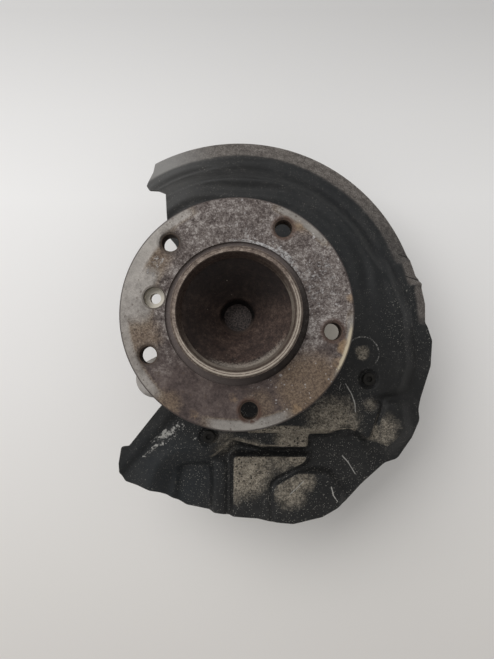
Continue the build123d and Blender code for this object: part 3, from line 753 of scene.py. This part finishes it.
def past_edge(outline, x, y):
    """Distance past the sheet's edge or into its holes, negative on the sheet."""
    outside = -inside_depth(outline, x, y)
    angle = np.radians(np.degrees(np.arctan2(y, x)) % 90 - 45)
    radius = np.hypot(x, y)
    along, across = radius * np.cos(angle), np.abs(radius * np.sin(angle))
    lean = np.arccos((HOLE_RADIUS - EAR_RADIUS) / EAR_CIRCLE)
    flank = along * np.cos(lean) + across * np.sin(lean) - HOLE_RADIUS
    between = along * np.sin(lean) - across * np.cos(lean)
    ear = np.hypot(along - EAR_CIRCLE, across) - EAR_RADIUS
    hole = np.minimum(radius - HOLE_RADIUS, ear)
    hole = np.where((between > 0) & (between < EAR_CIRCLE * np.sin(lean)), flank, hole)
    result = np.maximum(outside, -hole)
    for place_x, place_y in SCREW_PLACES:
        result = np.maximum(result, SCREW_HOLE_RADIUS - np.hypot(x - place_x, y - place_y))
    return result


def pressed_height(x, y):
    """Height of the die that the sheet is pressed over, with sharp creases."""
    radius = np.hypot(x, y)
    rise = PLATE_LEVEL - OUTER_LEVEL
    plate = OUTER_LEVEL + np.clip(PLATE_RADIUS + rise - radius, 0, rise)
    height = np.where(inside_depth(np.array(PLATE_CUT), x, y) > 0, OUTER_LEVEL, plate)
    for corners, corner_radius, foot, top, draft in PRESSED_FORMS:
        depth = inside_depth(rounded(corners, [corner_radius] * len(corners)), x, y)
        form = foot + np.clip(depth / tan(radians(draft)), 0, top - foot)
        height = np.maximum(height, np.where(depth > 0, form, OUTER_LEVEL))
    pocket = inside_depth(rounded(POCKET, [POCKET_CORNER] * len(POCKET)), x, y)
    sunk = np.clip(pocket / tan(radians(POCKET_DRAFT)), 0, POCKET_DEPTH)
    height = np.where(height <= OUTER_LEVEL, height - sunk, height)
    angle = np.degrees(np.arctan2(y, x))
    for start, sweep, inner in RIM_SECTORS:
        cone = OUTER_LEVEL - RIM_SLOPE * np.clip(radius - inner, 0, None)
        in_sector = (angle >= start) & (angle < start + sweep) & (height < OUTER_LEVEL + 1)
        height = np.where(in_sector, np.minimum(height, cone), height)
    return height


def softened(height, reach):
    """The same heights with every crease rounded over about the given number of grid steps."""
    steps = np.arange(-int(3 * reach) - 1, int(3 * reach) + 2)
    weights = np.exp(-0.5 * (steps / reach) ** 2)
    weights /= weights.sum()
    for axis in (0, 1):
        margins = [(0, 0), (0, 0)]
        margins[axis] = (len(steps) // 2, len(steps) // 2)
        padded = np.pad(height, margins, mode="edge")
        height = sum(
            weight * np.take(padded, np.arange(index, index + height.shape[axis]), axis=axis)
            for index, weight in enumerate(weights)
        )
    return height


def sheet_waves(x, y):
    """Shallow waves of the drawn sheet inside its rim, and small dents from handling."""
    radius = np.hypot(x, y)
    angle = np.arctan2(y, x)
    swing = sum(reach * np.sin(often * angle + phase) for reach, often, phase in WAVE_SWINGS)
    upper = np.clip((y - WAVE_FOOT) / 30, 0, 1)
    upper *= np.clip((radius - WAVE_INNER) / 14, 0, 1) * np.clip((WAVE_OUTER - radius) / 5, 0, 1)
    height = upper * WAVE_HEIGHT * np.sin((radius + swing) * 2 * pi / WAVE_PITCH)
    for place, reach, depth in DENTS:
        distance_squared = (x - place[0]) ** 2 + (y - place[1]) ** 2
        height -= depth * np.exp(-distance_squared / reach ** 2)
    return height


def trim(form, outline):
    """Deletes the grid's faces off the sheet and moves its border onto the sheet's edge."""
    centres = np.array([face.calc_center_median()[:2] for face in form.faces]) / MM
    off_sheet = past_edge(outline, centres[:, 0], centres[:, 1]) > 0
    outside = [face for face, gone in zip(form.faces, off_sheet) if gone]
    bmesh.ops.delete(form, geom=outside, context="FACES")
    border = [vertex for vertex in form.verts if vertex.is_boundary]
    place = np.array([vertex.co[:2] for vertex in border]) / MM
    for _ in range(3):
        x, y = place.T
        over = past_edge(outline, x, y)
        lean_x = (past_edge(outline, x + EDGE_PROBE, y) - over) / EDGE_PROBE
        lean_y = (past_edge(outline, x, y + EDGE_PROBE) - over) / EDGE_PROBE
        move = np.clip(over, -EDGE_MOVE, EDGE_MOVE)
        place -= move[:, None] * np.stack((lean_x, lean_y), axis=1)
    for vertex, (x, y) in zip(border, place):
        vertex.co.x, vertex.co.y = x * MM, y * MM


def press(form):
    """Pushes the grid to the softened die's heights, with waves, dents and flat screw seats."""
    die_x, die_y = (np.arange(*reach, DIE_STEP) for reach in DIE_REACH)
    die = softened(pressed_height(*np.meshgrid(die_x, die_y)), CREASE / DIE_STEP)
    x, y = np.array([vertex.co[:2] for vertex in form.verts]).T / MM
    column, row = (x - die_x[0]) / DIE_STEP, (y - die_y[0]) / DIE_STEP
    left, low = column.astype(int), row.astype(int)
    right_share, top_share = column - left, row - low
    below = die[low, left] * (1 - right_share) + die[low, left + 1] * right_share
    above = die[low + 1, left] * (1 - right_share) + die[low + 1, left + 1] * right_share
    height = below * (1 - top_share) + above * top_share + sheet_waves(x, y)
    for place_x, place_y in SCREW_PLACES:
        distance = np.hypot(x - place_x, y - place_y)
        seat = np.clip((SEAT_RADIUS + SEAT_SLOPE - distance) / SEAT_SLOPE, 0, 1)
        height = height * (1 - seat) + (PLATE_LEVEL - SEAT_DEPTH) * seat
    for vertex, level in zip(form.verts, height):
        vertex.co.z = level * MM


def make_shield():
    """Models the pressed sheet as a fine grid pushed into shape, then given its thickness."""
    across, up = GRID_SIDES
    bpy.ops.object.select_all(action="DESELECT")
    bpy.ops.mesh.primitive_grid_add(
        x_subdivisions=int(across / GRID_STEP), y_subdivisions=int(up / GRID_STEP),
        size=1, location=(0, 0, 0),
    )
    sheet = bpy.context.object
    sheet.name = "pressed_shield"
    sheet.scale = (across * MM, up * MM, 1)
    sheet.location = (GRID_CENTRE[0] * MM, GRID_CENTRE[1] * MM, 0)
    bpy.ops.object.transform_apply(location=True, rotation=True, scale=True)

    form = bmesh.new()
    form.from_mesh(sheet.data)
    trim(form, shield_outline())
    press(form)
    form.to_mesh(sheet.data)
    form.free()

    wall = sheet.modifiers.new("wall", "SOLIDIFY")
    wall.thickness = SHEET * MM
    wall.offset = -1
    bpy.ops.object.modifier_apply(modifier=wall.name)
    bpy.ops.object.shade_smooth_by_angle(angle=radians(50))
    return sheet


# ---------------------------------------------------------------- dust shield
# scuffs on the flat panels: level, place, reach, softness and strength
PANEL_SCUFFS = (
    (PLATE_LEVEL, (68, -74), 6, 30, 1.08),
    (PANEL_LEVEL, (3, -106), 7, 34, 1.3),
    (PANEL_LEVEL, (30, -101), 2, 24, 0.95),
    (PANEL_LEVEL, (-3, -128), 1, 15, 0.9),
    (PANEL_LEVEL, (38, -124), 3, 24, 1.02),
    (PANEL_LEVEL, (48, -118), 2, 16, 1.0),
    (CORNER_LEVEL, (104, -80), 4, 22, 0.92),
)
# other scuffs and chalky crumbs: x, y, reach, softness and strength
LOOSE_SCUFFS = ((96, -62, 1, 12, 0.8), (90.3, -24.3, 3, 6, 0.95), (-10, -90, 4, 16, 0.7))
CHALK_SPOTS = ((-60, -77.5, 0.5, 4.5, 0.93), (-62, -121.5, 0.5, 4.5, 0.93), (-31, -85, 0.5, 4, 0.9))
# scratches and chalky strokes: start, end and width
SCRATCHES = (
    ((77.7, -46.6), (81.9, -53.9), 0.35),
    ((81.9, -53.9), (84.2, -60.5), 0.45),
    ((84.2, -60.5), (84.6, -66.9), 0.4),
    ((74.3, -46.7), (73.0, -50.5), 0.2),
    ((77.2, -100.7), (81.5, -105.4), 0.45),
    ((81.5, -105.4), (86.6, -113.9), 0.35),
    ((67.8, -122.0), (69.2, -128.0), 0.5),
    ((69.2, -128.0), (72.1, -132.2), 0.4),
    ((37.6, -127.2), (47.8, -117.5), 0.25),
)
CHALK_STROKES = (
    ((-67.6, -98.7), (-56, -88), 1.6),
    ((-56, -88), (-41.9, -77.1), 4.0),
    ((-62, -88), (-52, -80), 1.6),
)
# painted shadow lines of the two folds across the rim: start and end
RIM_FOLD_SHADOWS = (((122.5, 51), (135.5, 48)), ((126.5, 34), (139.5, 31)))
RUB_ARC = (90.3, -24.3)


def black_coating(sheet, clouds, coating_color):
    """Black coat with a painted bluish sheen and warm dust. Gives the dust's cover."""
    broad, middle, grain, _ = clouds
    sheet.color = sheet.tones(
        sheet.mix((broad, 0.5), (middle, 0.3), (grain, 0.25)),
        (0.42, darker(coating_color, 0.55)),
        (0.64, tuple(coating_color)),
    )
    # painted sheen: a bluish reflection on the lower left and the upper right
    bluish_sheen = sheet.strongest((sheet.spot((-48, -112), 14, 34), 1.0), (sheet.sector(35, 60), 0.5))
    sheet.paint(bluish_sheen, tone(30, 35, 39), 0.6)
    dust = sheet.step(sheet.mix((middle, 0.6), (broad, 0.5)), 0.48, 0.72)
    dust = sheet.times(dust, sheet.step(sheet.radius, 60, 84))
    sheet.paint(dust, tone(70, 68, 65), 0.15)
    return dust


def scuffed_and_lit_panels(sheet, clouds):
    """Where the raised panels are scuffed grey, with ragged borders, and painted highlights along
    the lower edges of the plate and the step and on a slope of the corner block.
    """
    broad, middle, grain, _ = clouds
    lower_plate = sheet.times(sheet.spot((34, -80), 3, 34), sheet.box((0, 60), (-83, -78), 3))
    areas = sheet.strongest(
        *(
            (sheet.times(sheet.level(height), sheet.spot(place, reach, soft)), strength)
            for height, place, reach, soft, strength in PANEL_SCUFFS
        ),
        (sheet.times(sheet.level(PLATE_LEVEL), lower_plate), 1.1),
        # painted highlights: the next four rows light the plate's lower edge, the step's right end
        # and lower edge, and a slope of the corner block
        (sheet.times(sheet.band(sheet.z, -61, -57, 1), sheet.box((8, 84), (-84, -79.5), 2)), 1.6),
        (sheet.times(sheet.band(sheet.z, -64.3, -61.2, 1), sheet.spot((48, -88), 6, 26)), 1.9),
        (sheet.times(sheet.level(STEP_LEVEL), sheet.box((12, 52), (-95, -92), 2)), 1.2),
        (sheet.times(sheet.spot((98, -82), 2, 9), sheet.band(sheet.z, -67, -61.4, 0.5)), 1.3),
        (sheet.spots(LOOSE_SCUFFS), 1.0),
    )
    ragged = sheet.mix((grain, 0.7), (middle, 0.7), (broad, 0.3))
    return sheet.step(sheet.plus(areas, ragged), 1.25, 2.15)


def rim_grime_and_sheen(sheet, clouds):
    """Rust-brown and grey grime on the sloping rim, its grey partly a painted sheen, with a painted
    glossy reflection at its left end. Gives the slope.
    """
    broad, middle, grain, fine = clouds
    slope = sheet.times(
        sheet.step(sheet.z, -70.1, -71.4),
        sheet.step(sheet.radius, 124, 128),
        sheet.step(sheet.y, -14, 4),
    )
    # the rim's grey is partly grime and partly painted sheen, the light that the steep rim reflects
    rim_grime_and_sheen_color = sheet.tones(
        sheet.mix((middle, 0.35), (grain, 0.4), (fine, 0.3)),
        (0.40, tone(46, 41, 39)),
        (0.50, tone(84, 78, 74)),
        (0.58, tone(112, 106, 101)),
        (0.66, tone(142, 138, 133)),
    )
    cover = sheet.plus(0.35, sheet.mix((sheet.step(sheet.y, 40, 110), 0.45), (broad, 0.2)))
    joggles = sheet.times(sheet.step(sheet.x, 118, 128), sheet.band(sheet.y, 4, 44, 5))
    cover = sheet.strongest((cover, 1.0), (joggles, 0.85))
    sheet.paint(slope, rim_grime_and_sheen_color, cover)
    # painted reflection: a hazy glossy highlight at the rim's left end
    painted_reflection = sheet.times(sheet.spot((-66, 116), 6, 52), sheet.plus(0.22, sheet.times(slope, 0.75)))
    sheet.paint(painted_reflection, tone(128, 127, 125), 0.85)
    # painted shadow: a dark line along each fold of the rim
    for start, end in RIM_FOLD_SHADOWS:
        sheet.paint(sheet.stroke(start, end, 0.5), tone(14, 14, 14), 0.9)
    return slope


def creases_and_ridges(sheet, middle):
    """Painted shade in the creases, and wear and painted highlights on the ridges, more of these on
    the lower half.
    """
    # painted shade: the creases are darkened by how much of their surroundings is covered
    creases = sheet.hollow(7)
    sheet.paint(creases, tone(16, 16, 16), 0.75)
    # the ridges' pale lines are partly wear and partly painted highlight
    ridges = sheet.times(
        sheet.worn_edge(1.0, 0.02, 0.25), sheet.rest_of(creases), sheet.step(middle, 0.4, 0.6)
    )
    lower_half = sheet.step(sheet.y, -60, -80)
    wear_and_highlight = sheet.plus(0.2, sheet.times(lower_half, 0.35))
    sheet.paint(ridges, tone(156, 151, 142), wear_and_highlight)


def dust_and_pits(sheet, clouds, slope, scuffs_and_highlights):
    """Specks of dust and a few flakes all over, and pits in the scuffed grey and its painted
    highlights.
    """
    broad, middle, _, _ = clouds
    dense = sheet.most(
        sheet.spot((30, -100), 60, 40),
        sheet.times(slope, 0.8),
        sheet.spot((-30, -88), 4, 22),
        sheet.times(sheet.spot((138, 0), 14, 40), 0.9),
        0.3,
    )
    specks = sheet.strongest(
        (sheet.specks(0.8, 0.5, 0.30), 0.8), (sheet.specks(1.5, 0.3, 0.42, shift=40), 0.85)
    )
    cover = sheet.step(sheet.plus(dense, sheet.mix((middle, 0.9), (broad, 0.4))), 0.75, 1.35)
    sheet.paint(sheet.times(specks, cover), tone(134, 131, 124), 0.85)
    flakes = sheet.times(sheet.specks(7.5, 0.12, 0.8, shift=72), sheet.step(middle, 0.45, 0.55))
    sheet.paint(flakes, tone(150, 149, 144), 0.45)
    pits = sheet.times(sheet.specks(1.7, 0.5, 0.95, shift=90), scuffs_and_highlights)
    sheet.paint(pits, tone(34, 32, 30), 0.85)


def scratches_and_chalk(sheet, grain):
    """Where the sheet is scratched or marked with chalky dirt."""
    scratches = sheet.most(*(sheet.stroke(*row) for row in SCRATCHES))
    chalk = sheet.most(*(sheet.stroke(*row) for row in CHALK_STROKES), sheet.spots(CHALK_SPOTS))
    patches = sheet.noise(3.2, 3, 0.6, shift=63)
    crumbly = sheet.plus(chalk, sheet.noise(1.3, 5, 0.9, shift=14), sheet.times(patches, 1.3))
    chalk = sheet.times(chalk, sheet.step(crumbly, 2.10, 2.28))
    arc = sheet.times(
        sheet.ring(RUB_ARC, 11.6, 12.0, 0.5),
        sheet.step(grain, 0.45, 0.6),
        sheet.step(sheet.plus(sheet.x, sheet.y), 62, 74),
    )
    return sheet.most(scratches, chalk, sheet.times(arc, 0.7))


def coated_sheet(settings):
    """Black coated sheet, dusty, scuffed grey on its raised panels and scratched, with painted
    sheen, reflection and highlights, and painted shade in its creases.
    """
    sheet = Finish("coated_sheet")
    clouds = (
        sheet.noise(26, 4, 0.6, warp=0.3),
        sheet.noise(4.5, 5, 0.7, shift=21),
        sheet.noise(1.2, 4, 0.75, shift=8),
        sheet.noise(0.55, 2, 0.7, shift=65),
    )
    broad, middle, grain, fine = clouds
    dust = black_coating(sheet, clouds, settings.coating_color)

    scuffs_and_highlights = scuffed_and_lit_panels(sheet, clouds)
    scuff_and_highlight_color = sheet.tones(
        sheet.mix((grain, 0.5), (middle, 0.3), (fine, 0.25)),
        (0.40, tone(60, 55, 48)),
        (0.50, tone(110, 102, 90)),
        (0.61, tuple(settings.scuff_and_highlight_color)),
    )
    sheet.paint(scuffs_and_highlights, scuff_and_highlight_color, 0.95)
    pale_patch = sheet.spot((68.5, -8.5), 5.5, 2.5)
    sheet.paint(pale_patch, tone(204, 198, 187))

    slope = rim_grime_and_sheen(sheet, clouds)
    creases_and_ridges(sheet, middle)
    dust_and_pits(sheet, clouds, slope, scuffs_and_highlights)
    marks = scratches_and_chalk(sheet, grain)
    sheet.paint(marks, tone(168, 166, 161), 0.8)

    roughness = sheet.plus(
        0.40, sheet.mix((scuffs_and_highlights, 0.28), (slope, 0.12), (dust, 0.12), (grain, 0.15))
    )
    height = sheet.mix((broad, 1.2), (middle, 0.35), (grain, 0.3), (fine, 0.15), (marks, -0.2))
    sheet.relief(height, 0.4, 0.7)
    sheet.shader.inputs["Specular IOR Level"].default_value = 0.3
    return sheet.finish(roughness)


# ---------------------------------------------------------------- other finishes
def weathered_casting():
    """Raw cast aluminium, pale, with patches of grime."""
    casting = Finish("weathered_casting")
    broad = casting.noise(22, 5, 0.6)
    middle = casting.noise(4, 5, 0.7, shift=19)
    grain = casting.noise(0.8, 3, 0.7, shift=45)
    casting.color = casting.tones(
        casting.mix((broad, 0.5), (middle, 0.35), (grain, 0.15)),
        (0.36, tone(112, 106, 99)),
        (0.5, tone(150, 145, 140)),
        (0.66, tone(176, 172, 168)),
    )
    grime = casting.step(casting.mix((broad, 0.7), (middle, 0.3)), 0.5, 0.38)
    casting.paint(grime, tone(78, 70, 62), 0.5)
    worn = casting.times(casting.worn_edge(0.8, 0.04, 0.25), casting.step(middle, 0.4, 0.6))
    casting.paint(worn, tone(196, 193, 190), 0.5)
    casting.relief(casting.mix((middle, 0.6), (grain, 0.5)), 0.4, 0.7)
    return casting.finish(casting.plus(0.5, casting.times(grain, 0.25)), 0.35)


def dull_steel(name, dark, light, roughness, rust_share):
    """Machined steel, dulled, with a bloom of rust."""
    steel = Finish(name)
    middle = steel.noise(5, 5, 0.65, shift=5)
    grain = steel.noise(0.8, 3, 0.7, shift=33)
    steel.color = steel.tones(steel.mix((middle, 0.55), (grain, 0.45)), (0.36, dark), (0.66, light))
    rust = steel.step(steel.mix((middle, 0.7), (grain, 0.3)), 0.62 - rust_share, 0.7)
    steel.paint(rust, tone(104, 72, 50), 0.7)
    steel.relief(steel.mix((middle, 0.3), (grain, 0.5)), 0.15, 0.6)
    dulled = steel.plus(roughness, steel.mix((rust, 0.25), (grain, 0.1)))
    return steel.finish(dulled, steel.math("SUBTRACT", 0.85, steel.times(rust, 0.6)))


def moulded(name, dark, light, roughness):
    """Rubber or plastic with dust and slight mottling."""
    skin = Finish(name)
    middle = skin.noise(3.5, 4, 0.6, shift=3)
    grain = skin.noise(0.5, 2, 0.6, shift=28)
    skin.color = skin.tones(skin.mix((middle, 0.6), (grain, 0.4)), (0.38, dark), (0.64, light))
    skin.relief(grain, 0.06, 0.5)
    return skin.finish(skin.plus(roughness, skin.times(middle, 0.15)))


def pale_table(table_color):
    """Pale table top, with a painted falloff of the light that makes it a little darker towards its
    near and far ends.
    """
    top = Finish("pale_table")
    top.color = top.tones(
        top.plus(top.times(top.y, MM), 0.5),
        (0.16, tone(216, 212, 208)),
        (0.27, tone(222, 219, 215)),
        (0.45, tone(231, 229, 227)),
        (0.62, tuple(table_color)),
        (0.70, tone(222, 221, 220)),
        (0.80, tone(200, 199, 198)),
    )
    return top.finish(0.6)


# ---------------------------------------------------------------- settings
class KnuckleSettings(bpy.types.PropertyGroup):
    """Sizes and colours of the dressed knuckle."""

    bare_steel_color: bpy.props.FloatVectorProperty(
        name="Bare Steel", description="Colour of the flange where the disc has rubbed it",
        subtype="COLOR", size=4, default=tone(158, 153, 147), min=0, max=1,
    )
    coating_color: bpy.props.FloatVectorProperty(
        name="Shield Coating", description="Colour of the dust shield's black coating",
        subtype="COLOR", size=4, default=tone(27, 27, 27), min=0, max=1,
    )
    scuff_and_highlight_color: bpy.props.FloatVectorProperty(
        name="Shield Scuffs", description="Colour of the scuffed panels",
        subtype="COLOR", size=4, default=tone(162, 153, 138), min=0, max=1,
    )
    table_color: bpy.props.FloatVectorProperty(
        name="Table Colour", description="Colour of the pale table top",
        subtype="COLOR", size=4, default=tone(234, 233, 232), min=0, max=1,
    )
    table_size: bpy.props.FloatProperty(
        name="Table Size", description="Side of the square table top", default=4.0, unit="LENGTH"
    )
    light_strength: bpy.props.FloatProperty(
        name="Light Strength", description="Power of the large soft lamp",
        default=18, min=0, unit="POWER",
    )
    room_strength: bpy.props.FloatProperty(
        name="Room Strength", description="Strength of the room's even light", default=0.5, min=0
    )


# ---------------------------------------------------------------- operators
def coat_nodes(material, *names):
    """Gives CAD nodes one material."""
    for name in names:
        coat(frame["nodes"][name], material)


class KNUCKLE_OT_hub(bpy.types.Operator):
    """Dress the wheel hub in worn and rusty steel"""

    bl_idname = "knuckle.hub"
    bl_label = "Wheel Hub"

    def execute(self, context):
        coat_nodes(rusty_hub_steel(context.scene.knuckle), "wheel_hub")
        return {"FINISHED"}


class KNUCKLE_OT_shield(bpy.types.Operator):
    """Press the dust shield and dress it in scuffed black coating"""

    bl_idname = "knuckle.shield"
    bl_label = "Dust Shield"

    def execute(self, context):
        shield = make_shield()
        coat(shield, coated_sheet(context.scene.knuckle))
        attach(shield, "knuckle")
        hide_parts("dust_shield")
        screws = dull_steel("dark_screw_steel", tone(26, 26, 26), tone(52, 50, 47), 0.5, 0.0)
        coat_nodes(screws, "shield_screws")
        return {"FINISHED"}


class KNUCKLE_OT_casting(bpy.types.Operator):
    """Dress the aluminium knuckle and its fitted steel pieces"""

    bl_idname = "knuckle.casting"
    bl_label = "Knuckle Casting"

    def execute(self, context):
        coat_nodes(weathered_casting(), "knuckle_casting")
        bolts = dull_steel(
            "weathered_bolt_steel", tone(88, 84, 78), tone(142, 138, 130), 0.42, 0.06
        )
        coat_nodes(bolts, "bearing_bolts", "strut_clamp_bolt", "strut_clamp_nut")
        sleeves = dull_steel(
            "turned_sleeve_steel", tone(84, 78, 72), tone(134, 128, 120), 0.38, 0.08
        )
        coat_nodes(sleeves, "control_arm_sleeve", "tension_strut_sleeve", "track_rod_sleeve")
        return {"FINISHED"}


class KNUCKLE_OT_bearing(bpy.types.Operator):
    """Dress the hub bearing, its seals and its cages"""

    bl_idname = "knuckle.bearing"
    bl_label = "Hub Bearing"

    def execute(self, context):
        rings = dull_steel("dull_bearing_steel", tone(74, 66, 60), tone(122, 114, 106), 0.45, 0.1)
        coat_nodes(rings, "bearing_outer_ring", "end_cap")
        ground = dull_steel("ground_steel", tone(120, 118, 115), tone(170, 168, 165), 0.25, 0.0)
        coat_nodes(ground, "bearing_inner_ring", "outboard_balls", "inboard_balls")
        cages = moulded("cage_plastic", tone(176, 164, 132), tone(204, 192, 160), 0.4)
        coat_nodes(cages, "outboard_cage", "inboard_cage")
        seals = moulded("seal_rubber", tone(22, 22, 22), tone(44, 43, 41), 0.6)
        coat_nodes(seals, "outboard_seal", "inboard_seal", "encoder_ring")
        return {"FINISHED"}


LAMP_PLACE = (-0.75, 0.75, 1.15)
LAMP_SIDES = (1.5, 1.2)
ROOM_LIGHT = (1.0, 0.995, 0.985, 1)
CAMERA_PLACE = (0.00624, -0.0250, 0.3021)
CAMERA_TILT = asin(0.0494)
LENS = 27.04
FILM_SIDE = 36


def soft_room(strength):
    """Even light all round, which the camera and reflections see as a pale grey wall."""
    world = bpy.data.worlds.new("soft_room")
    world.use_nodes = True
    nodes, links = world.node_tree.nodes, world.node_tree.links
    glow = nodes["Background"]
    glow.inputs["Color"].default_value = ROOM_LIGHT
    glow.inputs["Strength"].default_value = strength
    wall = nodes.new("ShaderNodeBackground")
    wall.inputs["Color"].default_value = tone(188, 187, 186)
    path = nodes.new("ShaderNodeLightPath")
    seen = nodes.new("ShaderNodeMath")
    seen.operation = "MAXIMUM"
    links.new(path.outputs["Is Camera Ray"], seen.inputs[0])
    links.new(path.outputs["Is Glossy Ray"], seen.inputs[1])
    choice = nodes.new("ShaderNodeMixShader")
    for source, socket in zip((seen, glow, wall), choice.inputs):
        links.new(source.outputs[0], socket)
    links.new(choice.outputs[0], nodes["World Output"].inputs["Surface"])
    return world


def soft_window(strength):
    """Large soft lamp at the upper left, aimed at the part."""
    lamp = bpy.data.lights.new("soft_window", "AREA")
    lamp.shape = "RECTANGLE"
    lamp.size, lamp.size_y = LAMP_SIDES
    lamp.energy = strength
    window = bpy.data.objects.new("soft_window", lamp)
    window.location = LAMP_PLACE
    window.rotation_euler = (-Vector(LAMP_PLACE)).to_track_quat("-Z", "Y").to_euler()
    return window


def overhead_camera():
    """Camera above the hub, tilted a little."""
    view = bpy.data.cameras.new("camera")
    view.sensor_fit = "VERTICAL"
    view.sensor_height = FILM_SIDE
    view.lens = LENS
    view.clip_start = 0.01
    camera = bpy.data.objects.new("camera", view)
    camera.location = CAMERA_PLACE
    camera.rotation_euler = (CAMERA_TILT, 0, 0)
    return camera


class KNUCKLE_OT_stage(bpy.types.Operator):
    """Set the table, the soft light and the camera"""

    bl_idname = "knuckle.stage"
    bl_label = "Stage"

    def execute(self, context):
        scene = context.scene
        settings = scene.knuckle
        table_height = cad_bounds[0][2]
        bpy.ops.object.select_all(action="DESELECT")
        bpy.ops.mesh.primitive_plane_add(size=settings.table_size, location=(0, 0, table_height))
        table = context.object
        table.name = "table_top"
        bpy.ops.object.transform_apply(location=True, rotation=True, scale=True)
        coat(table, pale_table(settings.table_color))

        scene.world = soft_room(settings.room_strength)
        scene.collection.objects.link(soft_window(settings.light_strength))
        camera = overhead_camera()
        scene.collection.objects.link(camera)
        scene.camera = camera
        scene.view_settings.view_transform = "Standard"
        return {"FINISHED"}


OPERATORS = (
    KNUCKLE_OT_hub,
    KNUCKLE_OT_shield,
    KNUCKLE_OT_casting,
    KNUCKLE_OT_bearing,
    KNUCKLE_OT_stage,
)


class KNUCKLE_PT_panel(bpy.types.Panel):
    """Settings of the knuckle and buttons for its pieces, in making order"""

    bl_idname = "KNUCKLE_PT_panel"
    bl_label = "Steering Knuckle"
    bl_space_type = "VIEW_3D"
    bl_region_type = "UI"
    bl_category = "Knuckle"

    def draw(self, context):
        column = self.layout.column()
        for name in KnuckleSettings.__annotations__:
            column.prop(context.scene.knuckle, name)
        for operator in OPERATORS:
            column.operator(operator.bl_idname)


CLASSES = (KnuckleSettings, *OPERATORS, KNUCKLE_PT_panel)


def register():
    for cls in CLASSES:
        bpy.utils.register_class(cls)
    bpy.types.Scene.knuckle = bpy.props.PointerProperty(type=KnuckleSettings)


def unregister():
    del bpy.types.Scene.knuckle
    for cls in reversed(CLASSES):
        bpy.utils.unregister_class(cls)


def main():
    register()
    bpy.ops.knuckle.hub()
    bpy.ops.knuckle.shield()
    bpy.ops.knuckle.casting()
    bpy.ops.knuckle.bearing()
    bpy.ops.knuckle.stage()


if __name__ == "__main__":
    main()
